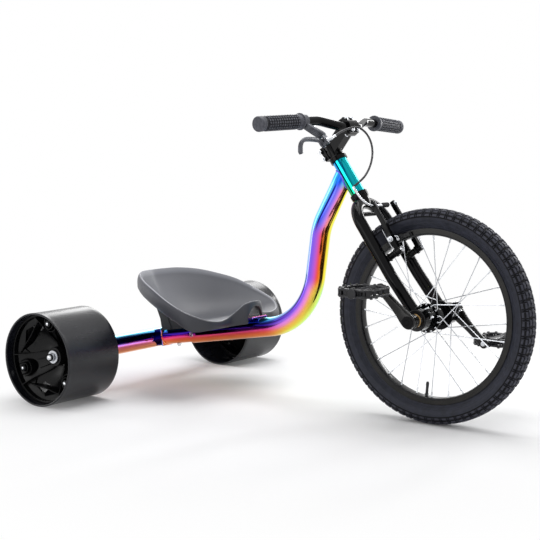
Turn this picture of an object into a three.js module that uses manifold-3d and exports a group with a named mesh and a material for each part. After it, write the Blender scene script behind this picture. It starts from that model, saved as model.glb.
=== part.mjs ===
import * as THREE from 'three';
import { mergeVertices } from 'three/addons/utils/BufferGeometryUtils.js';
import Module from 'manifold-3d';

// A drift trike. X runs forward, Y to the rider's left and Z up, in millimetres.
// The origin is on the ground, below the middle of the overall length.

const wasm = await Module();
wasm.setup();

const degree = Math.PI / 180;
const quarterTurn = Math.PI / 2;

// Driving dimensions: wheels and stance
const wheelbase = 878;
const track = 878;
const tyreRadius = 253;
const tyreWidth = 49;
const drumRadius = 118;
const drumWidth = 173;
const drumWall = 5;

// Driving dimensions: steering axis
const headAngle = 55 * degree;
const forkOffset = 10;
const headTubeStart = 350.5;
const headTubeLength = 95;
const headTubeRadius = 18;
const headTubeWall = 2;

// Driving dimensions: frame tubes
const tubeRadius = 25;
const tubeWall = 2.5;
const tubeRise = 9.45 * degree;
const tubeStart = 142;
const lowerRunShare = 0.608;
const upperRun = 247;
const upperLean = 8 * degree;
const tubeJoinShare = 0.66;
const lowerBendRadius = 166;
const upperBendRadius = 150;
const beamRadius = 26;
const beamWall = 2.5;

// Driving dimensions: seat
const seatLength = 359;
const seatWidth = 380;
const seatBackHeight = 155;
const seatThickness = 5;

// Driving dimensions: handlebar and cranks
const barRadius = 11.1;
const barWidth = 600;
const barRise = 24;
const gripRadius = 17.5;
const gripLength = 140;
const crankLength = 105;
const crankAngle = 137 * degree;

// Fits
const clearance = 0.3;
const overrun = 3;
const padGap = 1.8;

// Facets around a round piece
const largeSides = 40;
const tubeSides = 20;
const middleSides = 16;
const smallSides = 10;
const coarseSides = 8;
const pipeSides = 16;
const fineBend = 14 * degree;
const coarseBend = 23 * degree;

const up = new THREE.Vector3(0, 1, 0);

// A closed mesh with shared vertices, no empty triangles and its faces pointing out
function closed(geometry) {
  const bare = new THREE.BufferGeometry();
  bare.setAttribute('position', geometry.getAttribute('position').clone());
  if (geometry.index) {
    bare.setIndex(geometry.index.clone());
  }
  const merged = mergeVertices(bare);
  const place = merged.getAttribute('position');
  const source = merged.index.array;
  const kept = [];
  let volume = 0;
  const [a, b, c] = [new THREE.Vector3(), new THREE.Vector3(), new THREE.Vector3()];
  for (let i = 0; i < source.length; i += 3) {
    const corners = [source[i], source[i + 1], source[i + 2]];
    if (new Set(corners).size === 3) {
      kept.push(...corners);
      a.fromBufferAttribute(place, corners[0]);
      b.fromBufferAttribute(place, corners[1]);
      c.fromBufferAttribute(place, corners[2]);
      volume += a.dot(b.cross(c));
    }
  }
  if (volume < 0) {
    kept.reverse();
  }
  merged.setIndex(kept);
  return merged;
}

function solidOf(geometry) {
  const merged = closed(geometry);
  const vertProperties = new Float32Array(merged.getAttribute('position').array);
  const triVerts = new Uint32Array(merged.index.array);
  return new wasm.Manifold(new wasm.Mesh({ numProp: 3, vertProperties, triVerts }));
}

function geometryOf(solid) {
  const mesh = solid.getMesh();
  const geometry = new THREE.BufferGeometry();
  geometry.setAttribute('position', new THREE.BufferAttribute(mesh.vertProperties, 3));
  geometry.setIndex(new THREE.BufferAttribute(mesh.triVerts, 1));
  return geometry;
}

function join(first, ...others) {
  let solid = solidOf(first);
  for (const other of others) {
    solid = solid.add(solidOf(other));
  }
  return geometryOf(solid);
}

function cut(first, ...others) {
  let solid = solidOf(first);
  for (const other of others) {
    solid = solid.subtract(solidOf(other));
  }
  return geometryOf(solid);
}

function mirrored(geometry) {
  return closed(geometry.clone().scale(1, -1, 1));
}

function box(length, width, height, x = 0, y = 0, z = 0) {
  return new THREE.BoxGeometry(length, width, height).translate(x, y, z);
}

// A turned piece about the Y axis, from pairs of radius and place along the axis
function turned(profile, sides) {
  const points = profile.map(([radius, along]) => new THREE.Vector2(radius, along));
  return closed(new THREE.LatheGeometry(points, sides));
}

function ring(outer, inner, from, to, sides) {
  return turned([[inner, from], [outer, from], [outer, to], [inner, to], [inner, from]], sides);
}

function disc(radius, from, to, sides) {
  return turned([[0, from], [radius, from], [radius, to], [0, to]], sides);
}

// Turns a piece made about Y so that its axis lies along Z
function upright(geometry) {
  return geometry.rotateX(quarterTurn);
}

// Sets a piece made up the Y axis from the origin on one place, aimed at another
function aimed(shape, from, to) {
  const line = new THREE.Vector3().subVectors(to, from).normalize();
  shape.applyQuaternion(new THREE.Quaternion().setFromUnitVectors(up, line));
  return shape.translate(from.x, from.y, from.z);
}

// A rod between two places, hollow where a bore is given
function rod(from, to, radius, sides, bore = 0) {
  const length = from.distanceTo(to);
  const shape = bore > 0 ? ring(radius, bore, 0, length, sides) : disc(radius, 0, length, sides);
  return aimed(shape, from, to);
}

function point(x, y, z) {
  return new THREE.Vector3(x, y, z);
}

// A path with a station only where it turns
class BentPath extends THREE.Curve {
  constructor(corners, radii, step) {
    super();
    this.places = [];
    this.headings = [];
    corners.forEach((corner, i) => {
      if (i === 0 || i === corners.length - 1) {
        const other = i === 0 ? corners[1] : corners[i - 1];
        const heading = new THREE.Vector3().subVectors(corner, other).normalize();
        this.places.push(corner.clone());
        this.headings.push(i === 0 ? heading.negate() : heading);
        return;
      }
      const inward = new THREE.Vector3().subVectors(corner, corners[i - 1]).normalize();
      const outward = new THREE.Vector3().subVectors(corners[i + 1], corner).normalize();
      const turn = inward.angleTo(outward);
      const axis = new THREE.Vector3().crossVectors(inward, outward).normalize();
      const radius = radii[i - 1];
      const start = corner.clone().addScaledVector(inward, -radius * Math.tan(turn / 2));
      const toCentre = new THREE.Vector3().crossVectors(axis, inward);
      const centre = start.clone().addScaledVector(toCentre, radius);
      const steps = Math.max(1, Math.ceil(turn / step));
      for (let k = 0; k <= steps; k++) {
        const angle = (turn * k) / steps;
        const arm = toCentre.clone().negate().multiplyScalar(radius).applyAxisAngle(axis, angle);
        this.places.push(centre.clone().add(arm));
        this.headings.push(inward.clone().applyAxisAngle(axis, angle));
      }
    });
    this.count = this.places.length - 1;
  }

  between(list, t) {
    const at = Math.min(t * this.count, this.count - 1e-9);
    const i = Math.floor(at);
    return list[i].clone().lerp(list[i + 1], at - i);
  }

  getPoint(t, target = new THREE.Vector3()) {
    return target.copy(t >= 1 ? this.places[this.count] : this.between(this.places, t));
  }

  getTangent(t, target = new THREE.Vector3()) {
    return target.copy(t >= 1 ? this.headings[this.count] : this.between(this.headings, t).normalize());
  }

  getUtoTmapping(u) {
    return u;
  }
}

function circlePoints(radius, sides) {
  const points = [];
  for (let i = 0; i < sides; i++) {
    const angle = (2 * Math.PI * i) / sides;
    points.push(new THREE.Vector2(radius * Math.cos(angle), radius * Math.sin(angle)));
  }
  return points;
}

function pipe(path, steps, radius, sides, bore = 0) {
  const shape = new THREE.Shape(circlePoints(radius, sides));
  if (bore > 0) {
    shape.holes.push(new THREE.Path(circlePoints(bore, sides)));
  }
  return closed(new THREE.ExtrudeGeometry(shape, { steps, extrudePath: path }));
}

function bentPipe(corners, radii, step, radius, sides, bore = 0) {
  const path = new BentPath(corners, radii, step);
  return pipe(path, path.count, radius, sides, bore);
}

// A flat plate cut to an outline in X and Z, centred on y
function plate(outline, thickness, y = 0) {
  const shape = new THREE.Shape(outline.map(([x, z]) => new THREE.Vector2(x, z)));
  const body = new THREE.ExtrudeGeometry(shape, { depth: thickness, bevelEnabled: false });
  return closed(body.rotateX(quarterTurn).translate(0, y + thickness / 2, 0));
}

const trike = new THREE.Group();
const overallLength = drumRadius + wheelbase + tyreRadius;
trike.position.x = drumRadius - overallLength / 2;

function add(group, name, geometry, colour, roughness, metalness) {
  const material = new THREE.MeshStandardMaterial({ color: colour, roughness, metalness });
  const mesh = new THREE.Mesh(closed(geometry), material);
  mesh.name = name;
  group.add(mesh);
}

const [glossBlack, satinBlack, rubberBlack] = [0x101114, 0x1b1c1f, 0x24252a];
const [silver, darkSilver, bronze, grey] = [0xc4c6c9, 0x8d8f93, 0x8a7350, 0x55565b];
const [chromePurple, chromeTeal, chromeOrange] = [0x9a5fd0, 0x1fb4bd, 0xd9795a];

// The steering axis: local Z runs up the axis and local X forward across it.
// Its foot is where the line through the front hub, square to the axis, meets the axis.
const footX = wheelbase - forkOffset * Math.sin(headAngle);
const footZ = tyreRadius - forkOffset * Math.cos(headAngle);

function axisGroup() {
  const group = new THREE.Group();
  group.position.set(footX, 0, footZ);
  group.rotation.y = headAngle - quarterTurn;
  trike.add(group);
  return group;
}

const head = axisGroup();
const steering = axisGroup();

// The tube line: local X runs along the lower run from the rear axle, and local Z square to it
const rear = new THREE.Group();
rear.position.z = drumRadius;
rear.rotation.y = -tubeRise;
trike.add(rear);

// Where a place on the steering axis lies in the rear group's own directions
function axisPlace(along) {
  const x = footX - along * Math.cos(headAngle);
  const z = footZ + along * Math.sin(headAngle) - drumRadius;
  return point(
    x * Math.cos(tubeRise) + z * Math.sin(tubeRise),
    0,
    z * Math.cos(tubeRise) - x * Math.sin(tubeRise),
  );
}

// Head tube and headset
const headTop = headTubeStart + headTubeLength;
const headBore = headTubeRadius - headTubeWall;
const steererRadius = 12.7;
const cupRadius = 22;
const cupHeight = 10;
const cupSkirt = 8;
const cupWall = 1.4;
const bearingRadius = 19.5;
const bearingHeight = 6.5;
const bearingWall = 5;

// A cup faces up from the tube's end, with its skirt inside the tube
function headsetCup() {
  const skirtRadius = headBore - clearance;
  const seat = cupHeight - bearingHeight - 2 * clearance;
  return upright(turned([
    [skirtRadius - cupWall, -cupSkirt],
    [skirtRadius, -cupSkirt],
    [skirtRadius, clearance],
    [cupRadius, clearance],
    [cupRadius, cupHeight],
    [bearingRadius + clearance, cupHeight],
    [bearingRadius + clearance, seat],
    [skirtRadius - cupWall, seat],
    [skirtRadius - cupWall, -cupSkirt],
  ], middleSides));
}

function headsetBearing() {
  const low = cupHeight - bearingHeight;
  const bore = bearingRadius - bearingWall;
  return upright(ring(bearingRadius, bore, low, cupHeight, middleSides));
}

add(head, 'head_tube', upright(ring(headTubeRadius, headBore, headTubeStart, headTop, middleSides)),
  chromeTeal, 0.2, 0.9);
add(head, 'headset_cup_upper', headsetCup().translate(0, 0, headTop), glossBlack, 0.3, 0.4);
add(head, 'headset_bearing_upper', headsetBearing().translate(0, 0, headTop), silver, 0.3, 0.8);
add(head, 'headset_cup_lower', headsetCup().scale(1, 1, -1).translate(0, 0, headTubeStart),
  glossBlack, 0.3, 0.4);
add(head, 'headset_bearing_lower', headsetBearing().scale(1, 1, -1).translate(0, 0, headTubeStart),
  silver, 0.3, 0.8);

// Main tube: along the lower run, up past the seat's front and forward to the head tube
const joinPlace = axisPlace(headTubeStart + headTubeLength * tubeJoinShare);
const lowerRun = wheelbase * lowerRunShare;
const lowerCorner = point(lowerRun, 0, 0);
const upperHeading = quarterTurn - upperLean - tubeRise;
const upperCorner = point(
  lowerRun + upperRun * Math.cos(upperHeading),
  0,
  upperRun * Math.sin(upperHeading),
);
const tubeBore = tubeRadius - tubeWall;

// The tube is pressed oval where it meets the head tube
function pressOval(geometry) {
  const endShare = (headTubeRadius - 2 * clearance) / tubeRadius;
  const place = geometry.getAttribute('position');
  const runUp = joinPlace.distanceTo(upperCorner);
  for (let i = 0; i < place.count; i++) {
    const away = joinPlace.distanceTo(point(place.getX(i), 0, place.getZ(i)));
    const share = THREE.MathUtils.smoothstep(away, tubeRadius, runUp);
    place.setY(i, place.getY(i) * (endShare + (1 - endShare) * share));
  }
  return geometry;
}

function axisRod(radius) {
  return rod(axisPlace(headTubeStart - radius), axisPlace(headTop + radius), radius, middleSides);
}

function mainTube() {
  const corners = [point(tubeStart, 0, 0), lowerCorner, upperCorner, joinPlace];
  const runUp = joinPlace.distanceTo(upperCorner);
  const heading = new THREE.Vector3().subVectors(joinPlace, upperCorner).normalize();
  corners.splice(3, 0, upperCorner.clone().addScaledVector(heading, runUp / 2));
  const radii = [lowerBendRadius, upperBendRadius, upperBendRadius];
  const tube = pressOval(bentPipe(corners, radii, fineBend, tubeRadius, tubeSides, tubeBore));
  return cut(tube, axisRod(headTubeRadius + 3 * clearance), lengthBoltHole());
}

// Rear beam, bracket and stub tube
const drumGap = 8;
const beamEnd = track / 2 - drumWidth - drumGap;
const stubRadius = tubeBore - clearance;
const stubWall = 3;
const stubEngagement = 85;
const bracketReach = 42;
const bracketWidth = 36;
const bracketHeight = 37;
const boltRadius = 4;
const boltHead = 6.5;
const boltHeadHeight = 5;
const bracketBoltX = 31;
const seatBoltRearX = 84;
const lengthBoltX = 158;

// A bolt about Y with its head above one face and its nut below the other
function bolt(span, radius = boltRadius, headRadius = boltHead, headHeight = boltHeadHeight) {
  const half = span / 2 + clearance;
  const shank = disc(radius, -half - headHeight, half + headHeight / 2, smallSides);
  const top = disc(headRadius, half, half + headHeight, smallSides);
  const nut = new THREE.CylinderGeometry(headRadius, headRadius, headHeight, 6);
  nut.translate(0, -half - headHeight / 2, 0);
  return join(shank, top, nut);
}

function boltHole(span, radius = boltRadius) {
  return disc(radius + clearance, -span, span, smallSides);
}

function lengthBoltHole() {
  return boltHole(2 * tubeRadius).translate(lengthBoltX, 0, 0);
}

function rearBracket() {
  const block = box(bracketReach, bracketWidth, bracketHeight, bracketReach / 2, 0, 0);
  const stubEnd = tubeStart + stubEngagement;
  const sleeve = disc(stubRadius, bracketReach - overrun, stubEnd, tubeSides).rotateZ(-quarterTurn);
  const bore = disc(stubRadius - stubWall, bracketReach, stubEnd + overrun, tubeSides);
  const beam = disc(beamRadius + clearance, -bracketWidth, bracketWidth, middleSides);
  return cut(
    join(block, sleeve),
    bore.rotateZ(-quarterTurn),
    beam,
    upright(boltHole(bracketHeight)).translate(bracketBoltX, 0, 0),
    upright(boltHole(2 * stubRadius)).translate(seatBoltRearX, 0, 0),
    lengthBoltHole(),
  );
}

add(rear, 'main_tube', mainTube(), chromePurple, 0.2, 0.9);
add(rear, 'rear_bracket', rearBracket(), chromeOrange, 0.25, 0.9);
add(rear, 'axle_beam', ring(beamRadius, beamRadius - beamWall, -beamEnd, beamEnd, middleSides),
  chromeOrange, 0.2, 0.9);
add(rear, 'bracket_bolt', upright(bolt(bracketHeight)).translate(bracketBoltX, 0, 0), silver, 0.3, 0.9);
add(rear, 'length_bolt', mirrored(bolt(2 * tubeRadius)).translate(lengthBoltX, 0, 0), silver, 0.3, 0.9);

// Seat: a bucket with a tall back, two thigh lobes and a raised middle in front
const seatBack = 3;
const seatCentreShare = 0.52;
const seatFloor = 36;
const skirtInset = 0.94;
const seatSides = 36;
const rimShares = [
  [0, 0, 1], [0.033, 0.185, 0.995], [0.103, 0.445, 0.965], [0.217, 0.67, 0.905], [0.333, 0.845, 0.79],
  [0.483, 0.965, 0.64], [0.678, 1, 0.37], [0.803, 0.947, 0.19], [0.892, 0.789, 0.05],
  [0.916, 0.605, 0], [0.912, 0.447, 0.007], [0.919, 0.316, 0.044], [0.962, 0.158, 0.16], [1, 0, 0.236],
];
const rimLow = 34;
const skirtDropBack = 32;
const skirtDropSide = 42;
const skirtDropFront = 18;
const skirtFrontShares = [0.84, 0.95];
const skirtSideShare = 0.5;
const bowlShares = [[0.4, 0.01], [0.6, 0.08], [0.75, 0.25], [0.85, 0.5], [0.93, 0.8], [0.98, 0.97]];
const lipDrop = 6;
const lipReach = 1.014;
const seatCentre = seatBack + seatLength * seatCentreShare;

function rimCurve() {
  const place = ([x, y, z]) => point(
    seatBack + seatLength * x,
    (seatWidth / 2) * y,
    rimLow + seatBackHeight * z,
  );
  const half = rimShares.map(place);
  const other = half.slice(1, -1).reverse().map((p) => point(p.x, -p.y, p.z));
  return new THREE.CatmullRomCurve3([...half, ...other], true, 'centripetal');
}

// How far the skirt hangs below the rim: least in front, most along the sides
function skirtDrop(x, y) {
  const ahead = (x - seatBack) / seatLength;
  const front = THREE.MathUtils.smoothstep(ahead, skirtFrontShares[0], skirtFrontShares[1]);
  const side = THREE.MathUtils.smoothstep(ahead, 0, skirtSideShare);
  const back = skirtDropBack + (skirtDropSide - skirtDropBack) * side;
  return back + (skirtDropFront - back) * front;
}

function bowlHeight(rim, share) {
  return seatFloor + (rim.z - seatFloor) * share;
}

// The stations of one section of the seat, from the middle inside over the rim to the middle below
function seatSection(rim) {
  const inside = bowlShares.map(([reach, rise]) => [reach, bowlHeight(rim, rise)]);
  const drop = skirtDrop(rim.x, rim.y);
  const skirt = [
    [1, rim.z],
    [lipReach, rim.z - lipDrop],
    [(1 + lipReach) / 2, rim.z - 2 * lipDrop],
    [1 - (1 - skirtInset) / 2, rim.z - drop],
    [skirtInset, rim.z - drop],
  ];
  const [reach, rise] = bowlShares[4];
  const turn = [reach, Math.max(bowlHeight(rim, rise) - seatThickness, rim.z - drop + seatThickness / 4)];
  const below = bowlShares.slice(0, 4).reverse();
  const underside = below.map(([share, height]) => [share, bowlHeight(rim, height) - seatThickness]);
  return [...inside, ...skirt, turn, ...underside];
}

function bucket() {
  const curve = rimCurve();
  const vertices = [seatCentre, 0, seatFloor, seatCentre, 0, seatFloor - seatThickness];
  const faces = [];
  let stations = 0;
  for (let i = 0; i < seatSides; i++) {
    const rim = curve.getPoint(i / seatSides);
    const section = seatSection(rim);
    stations = section.length;
    for (const [share, z] of section) {
      vertices.push(seatCentre + (rim.x - seatCentre) * share, rim.y * share, z);
    }
  }
  const at = (i, k) => 2 + (i % seatSides) * stations + k;
  for (let i = 0; i < seatSides; i++) {
    faces.push(0, at(i, 0), at(i + 1, 0));
    faces.push(1, at(i + 1, stations - 1), at(i, stations - 1));
    for (let k = 0; k < stations - 1; k++) {
      faces.push(at(i, k), at(i, k + 1), at(i + 1, k + 1), at(i, k), at(i + 1, k + 1), at(i + 1, k));
    }
  }
  const geometry = new THREE.BufferGeometry();
  geometry.setAttribute('position', new THREE.Float32BufferAttribute(vertices, 3));
  geometry.setIndex(faces);
  return closed(geometry);
}

const pedestalFront = 128;
const pedestalBack = 55;
const pedestalWidth = 60;
const pedestalShares = [0.8, 0.7, 0.6, 0.5, 0.4, 0.3];

// The inside height of the bowl on the middle line behind its centre
function backHeight(share) {
  const knots = [[0, 0], ...bowlShares, [1, 1]];
  const i = knots.findIndex(([reach]) => reach >= share);
  const [low, high] = [knots[Math.max(i - 1, 0)], knots[Math.max(i, 1)]];
  const rise = low[1] + ((high[1] - low[1]) * (share - low[0])) / (high[0] - low[0]);
  return seatFloor + (rimLow + seatBackHeight - seatFloor) * rise;
}

function pedestal() {
  const back = seatCentre - seatBack;
  const outline = [[pedestalFront, stubRadius / 2], [pedestalBack, stubRadius / 2]];
  for (const share of pedestalShares) {
    outline.push([seatCentre - back * share, backHeight(share) - seatThickness / 2]);
  }
  const block = plate(outline, pedestalWidth);
  const stub = disc(stubRadius + clearance, -overrun, tubeStart, tubeSides).rotateZ(-quarterTurn);
  return cut(block, stub);
}

const seatPlateStart = 225;
const seatPlateEnd = 384;
const seatPlateWidth = 62;
const seatPlateThickness = 4;
const seatPlateSkirt = 20;
const seatBoltFrontX = 262;
const seatBoltRearSpan = seatFloor - stubRadius;

function seatPlate() {
  const length = seatPlateEnd - seatPlateStart;
  const middle = (seatPlateEnd + seatPlateStart) / 2;
  const low = tubeRadius - seatPlateSkirt;
  const high = seatFloor - seatThickness - clearance;
  const block = box(length, seatPlateWidth, high - low, middle, 0, (high + low) / 2);
  const inner = tubeRadius + clearance;
  const tube = disc(inner, seatPlateStart - overrun, seatPlateEnd + overrun, tubeSides);
  const slot = box(length + overrun, 2 * inner, high - low, middle, 0, low - (high - low) / 2 + inner / 2);
  const sides = [1, -1].map((side) => {
    const outside = seatPlateWidth / 2 - seatPlateThickness / 2;
    const width = outside - inner;
    return box(length + overrun, width, high - low, middle, side * (inner + width / 2),
      low - seatPlateThickness);
  });
  return cut(block, tube.rotateZ(-quarterTurn), slot, ...sides, seatBoltFrontHole());
}

// The front bolt screws into the plate from inside the bowl, in a shallow well
const seatBoltLength = 8;
const seatBoltWell = 2;

function seatBoltFront() {
  const top = seatFloor - seatBoltWell;
  return upright(join(
    disc(boltRadius, top - seatBoltLength, top, smallSides),
    disc(boltHead, top - clearance, top + seatBoltWell, smallSides),
  )).translate(seatBoltFrontX, 0, 0);
}

function seatBoltFrontHole() {
  return upright(disc(boltRadius + clearance, tubeRadius - overrun, seatFloor + overrun, smallSides))
    .translate(seatBoltFrontX, 0, 0);
}

function seatBoltWellCut() {
  const low = seatFloor - seatBoltWell - 2 * clearance;
  return upright(disc(boltHead + clearance, low, seatFloor + overrun, smallSides))
    .translate(seatBoltFrontX, 0, 0);
}

// The rear bolt holds the pedestal down on the stub tube, from a well in the bowl's floor
function seatBoltRear() {
  const top = backHeight((seatCentre - seatBoltRearX) / (seatCentre - seatBack)) - seatBoltWell;
  const low = -stubRadius - boltHeadHeight;
  const nut = new THREE.CylinderGeometry(boltHead, boltHead, boltHeadHeight - clearance, 6);
  nut.translate(0, -stubRadius - clearance - (boltHeadHeight - clearance) / 2, 0);
  return upright(join(
    disc(boltRadius, low - boltHeadHeight / 2, top, smallSides),
    disc(boltHead, top - clearance, top + seatBoltWell, smallSides),
    nut,
  )).translate(seatBoltRearX, 0, 0);
}

function seatBoltRearHole() {
  const top = backHeight((seatCentre - seatBoltRearX) / (seatCentre - seatBack)) - seatBoltWell;
  const well = disc(boltHead + clearance, top - 2 * clearance, top + seatBackHeight, smallSides);
  const hole = disc(boltRadius + clearance, 0, top, smallSides);
  return upright(join(well, hole)).translate(seatBoltRearX, 0, 0);
}

function seat() {
  return cut(join(bucket(), pedestal()), seatBoltFrontHole(), seatBoltWellCut(), seatBoltRearHole());
}

add(rear, 'seat', seat(), grey, 0.6, 0);
add(rear, 'seat_plate', seatPlate(), chromeOrange, 0.25, 0.9);
add(rear, 'seat_bolt_front', seatBoltFront(), darkSilver, 0.4, 0.8);
add(rear, 'seat_bolt_rear', seatBoltRear(), silver, 0.3, 0.9);

// Rear wheels on their axle stubs
const axleRadius = 7.5;
const threadRadius = 6;
const plugLength = 30;
const shoulderRadius = 24;
const shoulderWidth = 4;
const coreBossRadius = 24;
const coreBossLength = 112;
const rearBearingRadius = 17.5;
const rearBearingWidth = 11;
const webThickness = 6;
const webDish = 42;
const coreRimWidth = 26;
const coreRimWall = 5;
const armCount = 3;
const armBossRadius = 9;
const armBossPlaceShare = 0.8;
const armStartAngle = 82 * degree;
const windowShares = [0.34, 0.83];
const windowHalfAngle = 36 * degree;
const axleNutRadius = 12;
const axleNutHeight = 9;
const shoulderEnd = beamEnd + clearance + shoulderWidth;
const bossStart = shoulderEnd + 2 * clearance;
const bossEnd = bossStart + coreBossLength;
const drumInner = drumRadius - drumWall;

function axleStub() {
  const plug = beamRadius - beamWall - 2 * clearance;
  const nutFace = bossEnd + 2 * clearance;
  const end = nutFace + axleNutHeight + threadRadius;
  return turned([
    [0, beamEnd - plugLength],
    [plug, beamEnd - plugLength],
    [plug, beamEnd + clearance],
    [shoulderRadius, beamEnd + clearance],
    [shoulderRadius, shoulderEnd],
    [axleRadius, shoulderEnd],
    [axleRadius, nutFace],
    [threadRadius, nutFace],
    [threadRadius, end],
    [0, end],
  ], smallSides);
}

function axleNut() {
  const low = bossEnd + 3 * clearance;
  const hexRadius = axleNutRadius - threadRadius / 4;
  const hex = new THREE.CylinderGeometry(hexRadius, hexRadius, axleNutHeight, 6);
  hex.translate(0, low + axleNutHeight / 2, 0);
  const flange = disc(axleNutRadius, low, low + axleNutHeight / 4, smallSides);
  return cut(join(hex, flange), disc(threadRadius + clearance, 0, track, smallSides));
}

function drumSleeve() {
  const outer = track / 2;
  const inner = outer - drumWidth;
  const edge = drumWall / 2;
  return turned([
    [drumInner, inner],
    [drumRadius - edge, inner],
    [drumRadius, inner + edge],
    [drumRadius, outer - edge],
    [drumRadius - edge, outer],
    [drumInner, outer],
    [drumInner, inner],
  ], largeSides);
}

// One opening between two arms: an arch that is widest at the drum
function coreWindow(angle) {
  const shape = new THREE.Shape();
  const [low, high] = windowShares.map((share) => share * drumInner);
  shape.absarc(0, 0, high, angle - windowHalfAngle, angle + windowHalfAngle, false);
  shape.absarc(0, 0, low, angle + windowHalfAngle / 2, angle - windowHalfAngle / 2, true);
  const body = new THREE.ExtrudeGeometry(shape, { depth: track, bevelEnabled: false, curveSegments: 4 });
  return closed(body.rotateX(quarterTurn).translate(0, track, 0));
}

function drumCore() {
  const rim = drumInner - clearance;
  const webStart = bossEnd - webDish - webThickness;
  const rimEnd = bossEnd + coreRimWidth;
  const seatRadius = rearBearingRadius + clearance;
  const bore = axleRadius + 2 * clearance;
  const seatDepth = rearBearingWidth + clearance;
  let core = turned([
    [seatRadius, bossStart],
    [coreBossRadius, bossStart],
    [coreBossRadius, webStart],
    [rim - coreRimWall, rimEnd - coreRimWidth],
    [rim, rimEnd - coreRimWidth],
    [rim, rimEnd],
    [rim - coreRimWall, rimEnd],
    [rim - coreRimWall, rimEnd - coreRimWidth + webThickness],
    [coreBossRadius, webStart + webThickness],
    [coreBossRadius, bossEnd],
    [seatRadius, bossEnd],
    [seatRadius, bossEnd - seatDepth],
    [bore, bossEnd - seatDepth],
    [bore, bossStart + seatDepth],
    [seatRadius, bossStart + seatDepth],
    [seatRadius, bossStart],
  ], tubeSides);
  const windows = [];
  const bosses = [];
  for (let i = 0; i < armCount; i++) {
    const angle = armStartAngle + (2 * Math.PI * i) / armCount;
    const reach = rim * armBossPlaceShare;
    windows.push(coreWindow(angle + Math.PI / armCount));
    bosses.push(disc(armBossRadius, webStart, rimEnd, coarseSides)
      .translate(reach * Math.cos(angle), 0, reach * Math.sin(angle)));
  }
  core = cut(core, ...windows);
  return join(core, ...bosses);
}

function rearBearing(start) {
  const bore = axleRadius + clearance;
  return ring(rearBearingRadius, bore, start, start + rearBearingWidth, middleSides);
}

const rearWheels = new THREE.Group();
rearWheels.position.z = drumRadius;
trike.add(rearWheels);

for (const [side, shaped] of [['left', (g) => g], ['right', mirrored]]) {
  add(rearWheels, `axle_stub_${side}`, shaped(axleStub()), silver, 0.3, 0.9);
  add(rearWheels, `axle_nut_${side}`, shaped(axleNut()), silver, 0.25, 0.9);
  add(rearWheels, `drum_${side}`, shaped(drumSleeve()), glossBlack, 0.35, 0);
  add(rearWheels, `drum_core_${side}`, shaped(drumCore()), satinBlack, 0.4, 0);
  add(rearWheels, `drum_bearing_inner_${side}`, shaped(rearBearing(bossStart)), silver, 0.3, 0.8);
  add(rearWheels, `drum_bearing_outer_${side}`, shaped(rearBearing(bossEnd - rearBearingWidth)),
    silver, 0.3, 0.8);
}

// Front hub: a shell on a crank axle, with a bearing at one end and a freewheel at the other
const hub = new THREE.Group();
hub.position.x = forkOffset;
hub.rotation.y = quarterTurn - headAngle;
steering.add(hub);
const crankAxleRadius = 10;
const barrelRadius = 24;
const flangeRadius = 34;
const flangePlace = 30;
const flangeThickness = 3.2;
const shellEnd = 42;
const shellWall = 5;
const hubBearingWidth = 11;
const spokeRadius = 1.1;
const spokesPerSide = 14;
const spokeSides = 4;
const spokeCrossings = 2;
const spokeEndPlace = 2.5;

function hubShell() {
  const bore = barrelRadius - shellWall;
  const seatStart = shellEnd - hubBearingWidth - clearance;
  const neck = crankAxleRadius + 3 * clearance;
  return turned([
    [bore, -shellEnd],
    [barrelRadius, -shellEnd],
    [barrelRadius, -flangePlace - flangeThickness / 2],
    [flangeRadius, -flangePlace - flangeThickness / 2],
    [flangeRadius, -flangePlace + flangeThickness / 2],
    [barrelRadius, -flangePlace + flangeThickness / 2],
    [barrelRadius, flangePlace - flangeThickness / 2],
    [flangeRadius, flangePlace - flangeThickness / 2],
    [flangeRadius, flangePlace + flangeThickness / 2],
    [barrelRadius, flangePlace + flangeThickness / 2],
    [barrelRadius, shellEnd],
    [bore, shellEnd],
    [bore, seatStart],
    [neck, seatStart],
    [neck, -seatStart],
    [bore, -seatStart],
    [bore, -shellEnd],
  ], middleSides);
}

function hubRing(start, outer) {
  return ring(outer, crankAxleRadius + clearance, start, start + hubBearingWidth, middleSides);
}

// Rim: a channel whose flanges hold the tyre's beads
const rimDepth = 16.5;
const rimWidth = 26;
const rimWall = 1.7;
const tyreHeight = 46;
const rimOuter = tyreRadius - tyreHeight;
const rimInner = rimOuter - rimDepth;
const rimFloor = 4;
const rimFloorShare = 0.65;

function rim() {
  const half = rimWidth / 2;
  return turned([
    [rimInner, -half * rimFloorShare],
    [rimInner + rimWall, -half],
    [rimOuter, -half],
    [rimOuter, -half + rimWall],
    [rimInner + rimFloor + rimWall, -half + rimWall],
    [rimInner + rimFloor, 0],
    [rimInner + rimFloor + rimWall, half - rimWall],
    [rimOuter, half - rimWall],
    [rimOuter, half],
    [rimInner + rimWall, half],
    [rimInner, half * rimFloorShare],
    [rimInner, -half * rimFloorShare],
  ], largeSides);
}

const beadHeight = 6;
const tyreWall = 3.5;
const treadThickness = 6;
const shoulderHeight = 6;
const tyreOuterShares = [[0.3, 0.85], [0.56, 1], [0.8, 0.94]];
const tyreInnerShares = [[0.3, 0.72], [0.7, 0.82]];
const treadShare = 0.55;

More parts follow.
